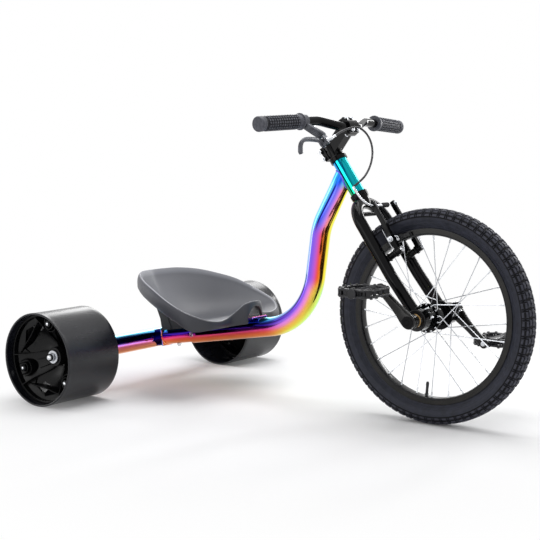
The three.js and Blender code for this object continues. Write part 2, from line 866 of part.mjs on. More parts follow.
function tyre() {
  const bead = rimWidth / 2 - rimWall - clearance;
  const half = tyreWidth / 2;
  const outer = tyreOuterShares.map(([rise, width]) => [rimOuter + tyreHeight * rise, half * width]);
  const inner = tyreInnerShares.map(([rise, width]) => [rimOuter + tyreHeight * rise, half * width]);
  const side = [
    [rimOuter - beadHeight, bead - tyreWall],
    [rimOuter - beadHeight, bead],
    [rimOuter + clearance, bead],
    ...outer,
    [tyreRadius - shoulderHeight / 4, half * treadShare],
    [tyreRadius, 0],
  ];
  const inside = [[tyreRadius - treadThickness, 0], ...inner.reverse()];
  const flip = ([radius, along]) => [radius, -along];
  return turned([
    ...side,
    ...side.slice(0, -1).reverse().map(flip),
    ...inside.slice(1).reverse().map(flip),
    ...inside,
    side[0],
  ], largeSides);
}

const innerTubeWall = 2;
const innerTubeSides = 8;
const innerTubeShare = 0.66;
const valveRadius = 3.2;
const valveLength = 34;
const valveBore = 1.2;
const valveAngle = 265.6 * degree;

// The inner tube fills the tyre, and its valve reaches in through the rim
function innerTube() {
  const low = rimOuter + clearance;
  const middle = (low + tyreRadius - treadThickness) / 2;
  const radius = (tyreRadius - treadThickness - low) / 2 - 3 * innerTubeWall / 2;
  const width = (tyreWidth / 2) * innerTubeShare;
  const section = (share) => {
    const points = [];
    for (let i = 0; i <= innerTubeSides; i++) {
      const angle = (2 * Math.PI * (i % innerTubeSides)) / innerTubeSides;
      points.push([middle + radius * share * Math.cos(angle), width * share * Math.sin(angle)]);
    }
    return points;
  };
  const skin = turned(section(1), tubeSides);
  const hollow = turned(section(1 - innerTubeWall / radius), tubeSides);
  const top = middle - radius + innerTubeWall * 2;
  const bottom = rimInner - valveLength;
  const direction = point(Math.cos(valveAngle), 0, Math.sin(valveAngle));
  const at = (r) => direction.clone().multiplyScalar(r);
  const stem = rod(at(top), at(bottom), valveRadius, smallSides);
  const bore = rod(at(middle), at(bottom - overrun), valveBore, 6);
  return cut(join(cut(skin, hollow), cut(stem, hollow)), bore);
}

function valveHole() {
  const direction = point(Math.cos(valveAngle), 0, Math.sin(valveAngle));
  const at = (r) => direction.clone().multiplyScalar(r);
  return rod(at(rimInner - overrun), at(rimOuter), valveRadius + clearance, smallSides);
}

// Half of each side's spokes lean forward and half back, and they touch where they cross
function spokes() {
  const circle = flangeRadius + spokeRadius + 2 * clearance;
  const pitch = (2 * Math.PI) / spokesPerSide;
  const reach = rimInner - 6 * clearance;
  const parts = [];
  for (let i = 0; i < spokesPerSide; i++) {
    const from = pitch * i;
    const to = from + (i % 2 === 0 ? pitch : -pitch) * spokeCrossings;
    const start = point(circle * Math.cos(from), flangePlace, circle * Math.sin(from));
    const end = point(reach * Math.cos(to), spokeEndPlace, reach * Math.sin(to));
    parts.push(rod(start, end, spokeRadius, spokeSides));
  }
  return join(...parts);
}

add(hub, 'hub_shell', hubShell(), glossBlack, 0.3, 0.5);
add(hub, 'wheel_bearing', hubRing(shellEnd - hubBearingWidth, barrelRadius - shellWall - clearance),
  silver, 0.3, 0.8);
add(hub, 'freewheel', hubRing(-shellEnd, barrelRadius - shellWall - clearance), darkSilver, 0.4, 0.8);
add(hub, 'rim', cut(rim(), valveHole()), satinBlack, 0.4, 0.4);
add(hub, 'tyre', tyre(), rubberBlack, 0.8, 0);
add(hub, 'inner_tube', innerTube(), rubberBlack, 0.7, 0);
add(hub, 'spokes_left', spokes(), silver, 0.3, 0.9);
add(hub, 'spokes_right', mirrored(spokes()).rotateY(Math.PI / spokesPerSide), silver, 0.3, 0.9);

// Crank axle in two bearings, which the fork's clamps hold
const crankBearingRadius = 21;
const crankBearingWidth = 12;
const crankBearingStart = 61;
const crankAxleEnd = 116;
const crankBossStart = 92;
const crankBossEnd = 120;
const crankBossRadius = 19;
const crankThickness = 13;
const crankPlateStart = 103;
const crankEyeRadius = 11;
const crankRootRadius = 14;
const spindleRadius = 6;
const pedalStart = 130;
const pedalWidth = 100;
const pedalLength = 90;
const pedalHeight = 20;
const pedalBarrelRadius = 11;
const pedalCapLength = 5;
const pedalChamfer = 12;
const pedalBarWidth = 9;
const pedalFlankWidth = 14;

// The cranks' own directions: X runs along the right crank, from the axle to its pedal
const cranks = new THREE.Group();
cranks.rotation.y = -crankAngle;
hub.add(cranks);
const bearings = new THREE.Group();
bearings.position.x = forkOffset;
steering.add(bearings);

function crank() {
  const middle = crankPlateStart + crankThickness / 2;
  const blade = plate([
    [0, -crankRootRadius],
    [crankLength, -crankEyeRadius],
    [crankLength, crankEyeRadius],
    [0, crankRootRadius],
  ], crankThickness, middle);
  const eye = disc(crankEyeRadius, crankPlateStart, crankPlateStart + crankThickness, smallSides);
  const boss = disc(crankBossRadius, crankBossStart, crankBossEnd, middleSides);
  const bore = disc(crankAxleRadius + clearance, 0, crankAxleEnd + clearance, middleSides);
  const thread = disc(spindleRadius + clearance, 0, pedalStart, smallSides);
  return cut(
    join(blade, eye.translate(crankLength, 0, 0), boss),
    bore,
    thread.translate(crankLength, 0, 0),
  );
}

function pedalSpindle() {
  const face = crankPlateStart + crankThickness;
  const end = pedalStart + pedalWidth;
  return turned([
    [0, crankPlateStart + clearance],
    [spindleRadius, crankPlateStart + clearance],
    [spindleRadius, face + clearance],
    [pedalBarrelRadius - spindleRadius / 2, face + clearance],
    [pedalBarrelRadius - spindleRadius / 2, pedalStart - clearance],
    [spindleRadius, pedalStart - clearance],
    [spindleRadius, end - clearance],
    [0, end - clearance],
  ], smallSides).translate(crankLength, 0, 0);
}

// A cage of two bars and two flanks round the barrel, open on both sides of it
function pedal() {
  const [x, y] = [pedalLength / 2, pedalWidth / 2];
  const [insideX, insideY] = [x - pedalBarWidth, y - pedalFlankWidth];
  const nearX = pedalBarrelRadius - overrun;
  const outline = [
    [x, -y + pedalChamfer], [x, y - pedalChamfer], [x - pedalChamfer, y], [pedalChamfer - x, y],
    [-x, y - pedalChamfer], [-x, pedalChamfer - y], [pedalChamfer - x, -y], [x - pedalChamfer, -y],
  ];
  const window = [
    [nearX, -insideY], [insideX - pedalChamfer / 2, -insideY], [insideX, pedalChamfer / 2 - insideY],
    [insideX, insideY - pedalChamfer / 2], [insideX - pedalChamfer / 2, insideY], [nearX, insideY],
  ];
  const slab = (corners, turn) => {
    const flat = new THREE.Shape(corners.map(([px, py]) => new THREE.Vector2(px * turn, py * turn)));
    const body = new THREE.ExtrudeGeometry(flat, { depth: pedalHeight, bevelEnabled: false });
    return closed(body.translate(0, pedalStart + y, -pedalHeight / 2));
  };
  const cage = cut(slab(outline, 1), slab(window, 1), slab(window, -1));
  const end = pedalStart + pedalWidth;
  const barrel = disc(pedalBarrelRadius, pedalStart, end + pedalCapLength, middleSides);
  const bore = disc(spindleRadius + clearance * 2, 0, end, smallSides);
  return cut(join(cage, barrel), bore);
}

for (const [side, shaped, turn] of [['left', (g) => g, Math.PI], ['right', mirrored, 0]]) {
  const bearing = ring(crankBearingRadius, crankAxleRadius + clearance, crankBearingStart,
    crankBearingStart + crankBearingWidth, middleSides);
  add(bearings, `crank_bearing_${side}`, shaped(bearing), silver, 0.3, 0.8);
  add(cranks, `crank_${side}`, shaped(crank()).rotateY(turn), satinBlack, 0.45, 0.5);
  add(cranks, `pedal_spindle_${side}`, shaped(pedalSpindle()).rotateY(turn), silver, 0.3, 0.9);
  const level = new THREE.Group();
  level.position.set(side === 'right' ? crankLength : -crankLength, 0, 0);
  level.rotation.y = crankAngle;
  cranks.add(level);
  add(level, `pedal_${side}`, shaped(pedal()), satinBlack, 0.5, 0.1);
}
add(cranks, 'crank_axle', disc(crankAxleRadius, -crankAxleEnd, crankAxleEnd, middleSides),
  silver, 0.3, 0.9);

// Fork: an arched tube with a steerer on it, brake bosses and a split clamp on each foot
const legRadius = 14.5;
const legWall = 2;
const legPlace = 60;
const crownPlace = 323;
const crownBendRadius = 56;
const legBendPlace = 120;
const legBendRadius = 200;
const legFoot = 15;
const legFootFront = 6.5;
const steererWall = 2;
const steererTop = 498;
const raceRadius = 18;
const raceHeight = 5;
const clampRadius = 25.5;
const clampStart = 54;
const clampEnd = 80;
const earLength = 14;
const earHeight = 18;
const earInset = 4;
const slitWidth = 2;
const bridgePlace = 292;
const bridgeRadius = 5.5;
const pivotPlace = 47;
const pivotAlong = 164;
const bossRadius = 8;
const brakeBossEnd = 32;
const studRadius = 5;
const studEnd = 52;
const postBoltRadius = 3;
const postBoltDepth = 14;
const postBoltHead = 6.5;
const postBoltHeight = 5;

function archCorners() {
  const half = [
    [legFootFront, legPlace, legFoot],
    [0, legPlace, legBendPlace],
    [0, legPlace, crownPlace],
  ];
  const other = [...half].reverse();
  return [
    ...half.map(([x, y, z]) => point(x, -y, z)),
    ...other.map(([x, y, z]) => point(x, y, z)),
  ];
}

function fork() {
  const radii = [legBendRadius, crownBendRadius, crownBendRadius, legBendRadius];
  const arch = bentPipe(archCorners(), radii, coarseBend, legRadius, pipeSides);
  const archBore = bentPipe(archCorners(), radii, coarseBend, legRadius - legWall, coarseSides);
  const raceTop = headTubeStart - cupHeight - clearance;
  const innerRace = bearingRadius - bearingWall - clearance;
  const race = upright(turned([
    [0, crownPlace],
    [raceRadius, crownPlace],
    [raceRadius, raceTop],
    [innerRace, raceTop],
    [innerRace, raceTop + raceHeight],
    [0, raceTop + raceHeight],
  ], middleSides));
  const steerer = upright(disc(steererRadius, crownPlace, steererTop, middleSides));
  const hollow = disc(steererRadius - steererWall, crownPlace - 2 * legRadius, steererTop + overrun,
    middleSides);
  const bridge = disc(bridgeRadius, -legPlace, legPlace, smallSides).translate(0, 0, bridgePlace);
  const parts = [steerer, race, bridge];
  const cuts = [archBore, upright(hollow)];
  for (const side of [1, -1]) {
    const low = side > 0 ? clampStart : -clampEnd;
    const high = side > 0 ? clampEnd : -clampStart;
    const width = clampEnd - clampStart - earInset;
    const middle = (side * (clampEnd + clampStart)) / 2;
    const earX = forkOffset + clampRadius + earLength / 2 - earInset;
    const at = (x) => point(x, side * pivotPlace, pivotAlong);
    parts.push(
      disc(clampRadius, low, high, middleSides).translate(forkOffset, 0, 0),
      box(earLength, width, earHeight, earX, middle, 0),
      rod(at(0), at(brakeBossEnd), bossRadius, smallSides),
      rod(at(0), at(studEnd), studRadius, smallSides),
    );
    cuts.push(
      disc(crankBearingRadius + clearance, low - legRadius, high + legRadius, middleSides)
        .translate(forkOffset, 0, 0),
      box(2 * earLength, 2 * legRadius, slitWidth, earX, middle, 0),
      rod(at(studEnd - postBoltDepth - clearance), at(studEnd + overrun), postBoltRadius + clearance,
        smallSides),
    );
  }
  return cut(join(arch, ...parts), ...cuts);
}

function postBolt() {
  const at = (x) => point(x, pivotPlace, pivotAlong);
  return join(
    rod(at(studEnd - postBoltDepth), at(studEnd + 2 * clearance), postBoltRadius, smallSides),
    rod(at(studEnd + clearance), at(studEnd + postBoltHeight), postBoltHead, smallSides),
  );
}

add(steering, 'fork', fork(), glossBlack, 0.25, 0.3);
add(steering, 'brake_post_bolt_left', postBolt(), silver, 0.3, 0.9);
add(steering, 'brake_post_bolt_right', mirrored(postBolt()), silver, 0.3, 0.9);

// Handlebar
const barClampFront = 69;
const barClampAlong = 499;
const barMiddle = 38;
const barShoulderShare = 1 / 3;
const barShoulderFront = 57.5;
const barEndFront = 35;
const barEndRise = 27;
const barBendRadius = 60;
const barWall = 2.2;
const barEnd = barWidth / 2;
const barShoulder = barEnd * barShoulderShare;

// The middle of the bar's straight outer part at a distance from the middle of the bar
function barPlace(y) {
  const share = (Math.abs(y) - barShoulder) / (barEnd - barShoulder);
  return point(
    barShoulderFront + (barEndFront - barShoulderFront) * share,
    y,
    barClampAlong + barRise + (barEndRise - barRise) * share,
  );
}

function handlebar() {
  const half = [barPlace(barEnd), barPlace(barShoulder), point(barClampFront, barMiddle, barClampAlong)];
  const other = half.map((p) => point(p.x, -p.y, p.z)).reverse();
  const radii = [barBendRadius, barBendRadius, barBendRadius, barBendRadius];
  return bentPipe([...half, ...other], radii, coarseBend, barRadius, smallSides, barRadius - barWall);
}

const gripCapLength = 4;
const gripFlange = 2.5;
const gripFlangeLength = 3;

function grip() {
  const [from, to] = [barPlace(barEnd - gripLength), barPlace(barEnd)];
  const length = from.distanceTo(to);
  const outer = turned([
    [0, 0],
    [gripRadius + gripFlange, 0],
    [gripRadius + gripFlange, gripFlangeLength],
    [gripRadius - gripFlange / 2, gripFlangeLength * 2],
    [gripRadius - gripFlange / 2, length - gripFlangeLength],
    [gripRadius, length],
    [gripRadius - gripFlange / 2, length + gripCapLength],
    [0, length + gripCapLength],
  ], middleSides);
  const bore = disc(barRadius + clearance, -overrun, length + clearance, middleSides);
  return cut(aimed(outer, from, to), aimed(bore, from, to));
}

// Stem: a split clamp on the steerer and half a clamp for the bar, closed by a plate in front
const stemStart = 460;
const stemEnd = 500;
const stemCapHeight = 4;
const stemClampRadius = 18;
const stemWidth = 30;
const barClampRadius = 17.5;
const barClampWidth = 40;
const stemEarLength = 12;
const stemEarWidth = 24;
const stemEarShare = 0.9;
const faceplateEarHeight = 22;
const faceplateEarThickness = 8;

function barClamp() {
  const radius = barClampRadius;
  const hoop = disc(radius, -barClampWidth / 2, barClampWidth / 2, middleSides);
  const ears = box(2 * faceplateEarThickness, barClampWidth * stemEarShare, 2 * faceplateEarHeight);
  return join(hoop, ears).translate(barClampFront, 0, barClampAlong);
}

function barClampBore() {
  return disc(barRadius + clearance, -barEnd, barEnd, middleSides)
    .translate(barClampFront, 0, barClampAlong);
}

function stem() {
  const coverTop = headTop + cupHeight + 2 * clearance;
  const innerCover = bearingRadius - bearingWall - clearance;
  const body = upright(turned([
    [0, coverTop - raceHeight],
    [innerCover, coverTop - raceHeight],
    [innerCover, coverTop],
    [stemClampRadius + overrun, coverTop],
    [stemClampRadius, stemStart],
    [stemClampRadius, stemEnd],
    [stemClampRadius - stemCapHeight / 2, stemEnd + stemCapHeight],
    [0, stemEnd + stemCapHeight],
  ], middleSides));
  const thin = stemCapHeight;
  const neck = plate([
    [0, stemStart + thin],
    [barClampFront - barClampRadius / 2, barClampAlong - barClampRadius + thin / 2],
    [barClampFront - barClampRadius / 2, barClampAlong + barClampRadius - thin / 2],
    [0, stemEnd - thin],
  ], stemWidth);
  const ear = box(stemEarLength, stemEarWidth, (stemEnd - stemStart) * stemEarShare,
    -stemClampRadius - stemEarLength / 4, 0, (stemEnd + stemStart) / 2);
  const reach = 2 * barClampWidth;
  return cut(
    join(body, neck, ear, barClamp()),
    upright(disc(steererRadius + clearance, headTop, stemEnd + clearance, middleSides)),
    barClampBore(),
    box(reach, reach, reach, barClampFront + clearance + reach / 2, 0, barClampAlong),
    box(2 * stemEarLength, slitWidth, stemEnd - stemStart, -stemClampRadius - stemEarLength,
      0, (stemEnd + stemStart) / 2),
  );
}

function faceplate() {
  const reach = 2 * barClampWidth;
  const back = box(reach, reach, reach, barClampFront + slitWidth - reach / 2, 0, barClampAlong);
  return cut(barClamp(), barClampBore(), back);
}

add(steering, 'stem', stem(), glossBlack, 0.3, 0.4);
add(steering, 'stem_faceplate', faceplate(), glossBlack, 0.3, 0.4);
add(steering, 'handlebar', handlebar(), glossBlack, 0.25, 0.4);
add(steering, 'grip_left', grip(), rubberBlack, 0.85, 0);
add(steering, 'grip_right', mirrored(grip()), rubberBlack, 0.85, 0);

// Brake lever under the right grip, on a perch clamped round the bar
const perchWidth = 14;
const perchRadius = 16;
const perchPlace = -(barEnd - gripLength - perchWidth / 2 - overrun);
const leverInset = 20;
const leverPivot = point(62, perchPlace + leverInset, 456);
const leverThickness = 8;
const leverRootRadius = 7;
const leverPinRadius = 2.6;
const perchBody = [20, 17, 30];
const leverSwingRoom = 8;
const perchArmRadius = 7.5;
const adjusterRadius = 5;
const adjusterInsets = [14, 36];
const adjusterStart = point(72, perchPlace + adjusterInsets[0], 457);
const adjusterEnd = point(80, perchPlace + adjusterInsets[1], 460);
const leverBlade = [[-22, 9], [-66, 11], [-84, 7]];
const leverHalf = 4;
const leverTip = [-15, -86, -13];
const leverTipRadius = 4.5;

function leverPerch() {
  const side = perchWidth / 2;
  const clampStartPlace = barPlace(perchPlace - side);
  const clampEndPlace = barPlace(perchPlace + side);
  const armTop = barPlace(perchPlace).add(point(0, 0, -barRadius));
  const [length, width, height] = perchBody;
  const middle = leverPivot.clone().add(point(0, 0, height / 2 - leverRootRadius));
  const armFoot = middle.clone().add(point(0, 0, height / 2));
  const body = box(length, width, height, middle.x, middle.y, middle.z);
  const slotHeight = leverRootRadius * 2 + overrun;
  const slot = box(leverThickness + 2 * clearance, 2 * width, 2 * slotHeight,
    leverPivot.x, leverPivot.y, leverPivot.z + slotHeight / 2 - slotHeight);
  const roof = leverPivot.z + leverRootRadius + leverSwingRoom;
  slot.translate(0, 0, roof - leverPivot.z - slotHeight / 2);
  const pinSide = length / 2 - overrun / 2;
  const pin = rod(
    leverPivot.clone().add(point(-pinSide, 0, 0)),
    leverPivot.clone().add(point(pinSide, 0, 0)),
    leverPinRadius,
    smallSides,
  );
  const bar = rod(clampStartPlace, clampEndPlace, perchRadius, middleSides);
  const bore = rod(barPlace(-barShoulder), barPlace(-barEnd), barRadius + clearance, middleSides);
  const solid = join(bar, rod(armTop, armFoot, perchArmRadius, smallSides), body);
  const open = cut(solid, bore, slot);
  return join(open, pin, rod(adjusterStart, adjusterEnd, adjusterRadius, smallSides));
}

// The blade is cut to an outline in Y and Z, and its tip turns down and back
function brakeLever() {
  const upper = leverBlade.map(([y, z]) => [y, z + leverHalf]);
  const lower = leverBlade.map(([y, z]) => [y, z - leverHalf]).reverse();
  const outline = [[0, leverRootRadius], ...upper, ...lower, [0, -leverRootRadius]];
  const blade = plate(outline, leverThickness).rotateZ(quarterTurn);
  const root = disc(leverRootRadius, -leverThickness / 2, leverThickness / 2, smallSides);
  const [bladeEnd] = leverBlade.slice(-1);
  const [tipX, tipY, tipZ] = leverTip;
  const bend = point(0, bladeEnd[0] + leverHalf, bladeEnd[1]);
  const tip = rod(bend, point(tipX, tipY, tipZ), leverTipRadius, smallSides);
  const bore = disc(leverPinRadius + clearance, -leverThickness, leverThickness, smallSides);
  const solid = join(blade, root.rotateZ(quarterTurn), tip);
  return cut(solid, bore.rotateZ(quarterTurn)).translate(leverPivot.x, leverPivot.y, leverPivot.z);
}

add(steering, 'lever_perch', leverPerch(), grey, 0.45, 0.7);
add(steering, 'brake_lever', brakeLever(), darkSilver, 0.4, 0.7);

// Brake arms, each turning on its own boss, with a pad beside the rim
const armFront = 45;
const armThickness = 12;
const armWidth = 15;
const armTopWidth = 10;
const armTopPlace = 44;
const armTopAlong = 297;
const padLength = 70;
const padThickness = 8;
const padHeight = 9;
const padCentreRadius = 199.5;
const padPostRadius = 3;
const padNutRadius = 6;
const padNutHeight = 5;
const padWasherRadius = 7;
const padFront = armFront - forkOffset;
const padAlong = Math.sqrt(padCentreRadius ** 2 - padFront ** 2);
const padTilt = Math.asin(padFront / padCentreRadius);
const cableAlong = 288;
const noodleRadius = 2.6;
const noodleBend = 38;
const noodleTip = 2;
const noodleStart = point(45, -86, 334);
const noodleCorner = point(45.5, -81, 289);

function brakeArm() {
  const wide = armWidth / 2;
  const narrow = armTopWidth / 2;
  const waist = padAlong + armWidth;
  const outline = [
    [pivotPlace - wide, pivotAlong],
    [pivotPlace + wide, pivotAlong],
    [pivotPlace + wide, waist],
    [armTopPlace + narrow, armTopAlong],
    [armTopPlace - narrow, armTopAlong],
    [pivotPlace - wide, waist],
  ];
  const blade = plate(outline, armThickness).rotateZ(quarterTurn).scale(-1, 1, 1);
  const at = (x) => point(x, pivotPlace, pivotAlong);
  const barrel = rod(at(brakeBossEnd + clearance), at(studEnd - clearance), bossRadius, smallSides);
  const bore = rod(at(0), at(studEnd + overrun), studRadius + clearance, smallSides);
  const hole = disc(padPostRadius + clearance, pivotPlace - armWidth, pivotPlace + armWidth, smallSides);
  return cut(join(closed(blade).translate(armFront, 0, 0), barrel), bore,
    hole.translate(armFront, 0, padAlong));
}

function brakePad() {
  const inner = rimWidth / 2 + padGap;
  const block = box(padLength, padThickness, padHeight).rotateY(padTilt);
  const armInner = pivotPlace - armWidth / 2 - clearance;
  const armOuter = pivotPlace + armWidth / 2 + clearance;
  const post = join(
    disc(padPostRadius, inner + padThickness / 2, armOuter + padNutHeight, smallSides),
    disc(padWasherRadius, armInner - padNutHeight, armInner, smallSides),
    disc(padNutRadius, armOuter, armOuter + padNutHeight, 6),
  );
  return join(block.translate(0, inner + padThickness / 2, 0), post).translate(armFront, 0, padAlong);
}

function noodlePath() {
  const end = point(armFront, noodleTip, cableAlong);
  return new BentPath([noodleStart, noodleCorner, end], [noodleBend], coarseBend);
}

function noodle(radius) {
  const path = noodlePath();
  return pipe(path, path.count, radius, coarseSides);
}

// Ribbed boot over the pipe's tip, with the inner cable running on to the left arm
const bootStart = -6;
const bootEnd = 17;
const bootBore = 3.7;
const bootRadius = 6;
const bootWaist = 5;
const bootRibs = 4;
const innerCableRadius = 1;

function boot() {
  const pitch = (bootEnd - bootStart) / bootRibs;
  const profile = [[bootBore, bootStart]];
  for (let i = 0; i < bootRibs; i++) {
    profile.push([bootWaist, bootStart + pitch * i], [bootRadius, bootStart + pitch * (i + 0.5)]);
  }
  const cableEnd = armTopPlace - armTopWidth / 2 - clearance;
  profile.push(
    [bootWaist, bootEnd],
    [innerCableRadius, bootEnd + pitch / 2],
    [innerCableRadius, cableEnd],
    [0, cableEnd],
    [0, bootEnd - overrun],
    [bootBore, bootEnd - overrun],
    [bootBore, bootStart],
  );
  return turned(profile, smallSides).translate(armFront, 0, cableAlong);
}

// The cable's way from the adjuster: first measured from it, then from the steering axis
const cableLead = [[0.4, 1.1, 0.2], [10, 28, 8], [19, 59, 12]];
const cableRoute = [
  [106, -30, 469],
  [108, -15, 452],
  [105, -11, 428],
  [98, -18, 402],
  [87, -37, 375],
  [72, -61, 354],
  [55, -79, 345],
  [45.6, -86.2, 342],
  [44.95, -86.5, 334.9],
];
const cablePoints = [
  ...cableLead.map(([x, y, z]) => point(x, y, z).add(adjusterEnd)),
  ...cableRoute.map(([x, y, z]) => point(x, y, z)),
];
const cableRadius = 2.5;
const cableSteps = 27;

function brakeCable() {
  const curve = new THREE.CatmullRomCurve3(cablePoints, false, 'centripetal');
  return pipe(curve, cableSteps, cableRadius, coarseSides);
}

const armRight = cut(mirrored(brakeArm()), noodle(noodleRadius + clearance));
add(steering, 'brake_arm_left', brakeArm(), glossBlack, 0.35, 0.4);
add(steering, 'brake_arm_right', armRight, glossBlack, 0.35, 0.4);
add(steering, 'brake_pad_left', brakePad(), rubberBlack, 0.8, 0);
add(steering, 'brake_pad_right', mirrored(brakePad()), rubberBlack, 0.8, 0);
add(steering, 'brake_noodle', noodle(noodleRadius), silver, 0.25, 0.9);
add(steering, 'brake_boot', boot(), rubberBlack, 0.7, 0);
add(steering, 'brake_cable', brakeCable(), rubberBlack, 0.5, 0);

export default trike;
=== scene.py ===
import math

import bmesh
import bpy
from mathutils import Matrix, Quaternion, Vector


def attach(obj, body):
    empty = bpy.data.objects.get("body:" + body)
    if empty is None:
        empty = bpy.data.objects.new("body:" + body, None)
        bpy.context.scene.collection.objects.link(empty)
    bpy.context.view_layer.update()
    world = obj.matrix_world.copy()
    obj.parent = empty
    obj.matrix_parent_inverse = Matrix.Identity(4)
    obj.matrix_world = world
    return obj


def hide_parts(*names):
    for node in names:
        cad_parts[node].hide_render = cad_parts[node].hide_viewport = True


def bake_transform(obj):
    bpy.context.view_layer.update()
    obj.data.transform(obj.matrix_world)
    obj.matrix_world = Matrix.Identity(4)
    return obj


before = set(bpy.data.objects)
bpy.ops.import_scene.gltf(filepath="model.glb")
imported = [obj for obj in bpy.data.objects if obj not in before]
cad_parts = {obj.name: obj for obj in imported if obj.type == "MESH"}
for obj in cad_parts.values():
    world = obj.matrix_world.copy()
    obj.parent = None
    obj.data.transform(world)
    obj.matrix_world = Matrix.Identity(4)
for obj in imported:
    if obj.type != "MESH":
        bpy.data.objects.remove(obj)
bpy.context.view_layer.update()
MM = 0.001


def linear(hex_code):
    """A linear colour from an sRGB hex value."""
    channels = [int(hex_code[i:i + 2], 16) / 255 for i in (1, 3, 5)]
    return tuple(c / 12.92 if c <= 0.04045 else ((c + 0.055) / 1.055) ** 2.4 for c in channels) + (1.0,)


def clamped(value):
    return min(max(value, 0), 1)


def smooth_share(value, low, high):
    """How far a value has come from low to high, eased at both ends."""
    t = clamped((value - low) / (high - low))
    return t * t * (3 - 2 * t)


def polar(radius, angle, along=0):
    """A place at a radius and an angle about the Y axis."""
    return Vector((radius * math.cos(angle), along, radius * math.sin(angle)))


def round_angles(count):
    return [2 * math.pi * k / count for k in range(count)]


def way_at(path, i):
    """The direction of a path at one of its places."""
    return (path[min(i + 1, len(path) - 1)] - path[max(i - 1, 0)]).normalized()


# Frames of the trike: X forward, Y to its left, Z up. Places are given in millimetres

def frame_at(place, x_axis=(1, 0, 0), z_axis=(0, 0, 1)):
    x_axis, z_axis = Vector(x_axis).normalized(), Vector(z_axis).normalized()
    turn = Matrix((x_axis, z_axis.cross(x_axis), z_axis)).transposed().to_4x4()
    return Matrix.Translation(Vector(place) * MM) @ turn


HEAD_ANGLE = math.radians(55)
TUBE_RISE = math.radians(9.45)
REAR_AXLE = (-506.5, 0, 118)
HUB = (371.5, 0, 253)
STEERING = frame_at(
    (363.31, 0, 247.264),
    (math.sin(HEAD_ANGLE), 0, math.cos(HEAD_ANGLE)),
    (-math.cos(HEAD_ANGLE), 0, math.sin(HEAD_ANGLE)),
)
TUBE_LINE = frame_at(
    REAR_AXLE,
    (math.cos(TUBE_RISE), 0, math.sin(TUBE_RISE)),
    (-math.sin(TUBE_RISE), 0, math.cos(TUBE_RISE)),
)
AXLE = frame_at(REAR_AXLE)
HUB_FRAME = frame_at(HUB)
# The frame in which the pieces of a body are drawn, where they name no other
BODY_FRAMES = {
    "frame": TUBE_LINE, "steering": STEERING, "lever": STEERING, "left_brake_arm": STEERING,
    "right_brake_arm": STEERING, "front_wheel": HUB_FRAME, "cranks": HUB_FRAME, "left_drum_wheel": AXLE,
    "right_drum_wheel": AXLE,
}


# Point of view: ahead of the trike and to its right, about 3 m away, through a long lens

VIEW_PLACE = (1.6969, -2.3788, 0.6521)
VIEW_WAY = (-0.60053, 0.79246, -0.10664)
VIEW_ROLL = math.radians(-0.11)
LENS_LENGTH, SENSOR_WIDTH = 77.82, 36


def aim_camera():
    forward = Vector(VIEW_WAY).normalized()
    side = forward.cross(Vector((0, 0, 1))).normalized()
    up = side.cross(forward)
    right = side * math.cos(VIEW_ROLL) + up * math.sin(VIEW_ROLL)
    top = up * math.cos(VIEW_ROLL) - side * math.sin(VIEW_ROLL)
    data = bpy.data.cameras.new("studio_camera")
    data.sensor_width = SENSOR_WIDTH
    data.lens = LENS_LENGTH
    camera = bpy.data.objects.new("studio_camera", data)
    camera.matrix_world = Matrix((right, top, -forward)).transposed().to_4x4()
    camera.location = VIEW_PLACE
    bpy.context.collection.objects.link(camera)
    bpy.context.scene.camera = camera


# Shapes: corners and faces of one piece, in millimetres of its own frame

class Shape:
    def __init__(self):
        self.points = []
        self.faces = []
        self.skins = []
        self.skin = 0
        self.marks = {}

    def face(self, corners):
        self.faces.append(tuple(corners))
        self.skins.append(self.skin)

    def loft(self, rings, wrap=False):
        """Skins rings of the same count of points, and closes the ends unless they wrap round."""
        first, count = len(self.points), len(rings[0])
        for ring in rings:
            self.points.extend(Vector(p) for p in ring)
        for i in range(len(rings) if wrap else len(rings) - 1):
            low, high = first + i * count, first + ((i + 1) % len(rings)) * count
            for k in range(count):
                n = (k + 1) % count
                self.face((low + k, low + n, high + n, high + k))
        if not wrap:
            self.face(range(first, first + count))
            self.face(range(len(self.points) - 1, len(self.points) - 1 - count, -1))
        return self

    def turned(self, profile, sides=48, wrap=False, place=Matrix()):
        """Turns pairs of radius and place along Y about the Y axis."""
        return self.loft([[place @ polar(radius, angle, along) for angle in round_angles(sides)]
                          for radius, along in profile], wrap)

    def tube(self, path, radius, sides=16):
        """Sweeps a circle along a path, without twist."""
        path = [Vector(p) for p in path]
        heading = (path[1] - path[0]).normalized()
        across = heading.orthogonal().normalized()
        if abs(heading.y) < 0.9:
            across = Vector((0, 1, 0))
            across = (across - heading * across.dot(heading)).normalized()
        rings = []
        for i, place in enumerate(path):
            turned = way_at(path, i)
            across = heading.rotation_difference(turned) @ across
            heading = turned
            over = heading.cross(across)
            rings.append([place + across * math.cos(a) * radius + over * math.sin(a) * radius
                          for a in round_angles(sides)])
        return self.loft(rings)

    def prism(self, outline, low, high, place=Matrix()):
        """A plate cut to an outline in X and Z, from low to high in Y."""
        rings = [[place @ Vector((x, y, z)) for x, z in outline] for y in (low, high)]
        return self.loft(rings)

    def box(self, size, centre=(0, 0, 0), turn=Matrix()):
        x, y, z = (s / 2 for s in size)
        place = Matrix.Translation(Vector(centre)) @ turn
        return self.prism([(-x, -z), (x, -z), (x, z), (-x, z)], -y, y, place)


def ease_edges(made, name, width, segments=2):
    """Rounds the edges of a piece that turn by more than 40 degrees."""
    edge = made.modifiers.new(name, "BEVEL")
    edge.width = width * MM
    edge.segments = segments
    edge.limit_method = "ANGLE"
    edge.angle_limit = math.radians(40)
    edge.harden_normals = True


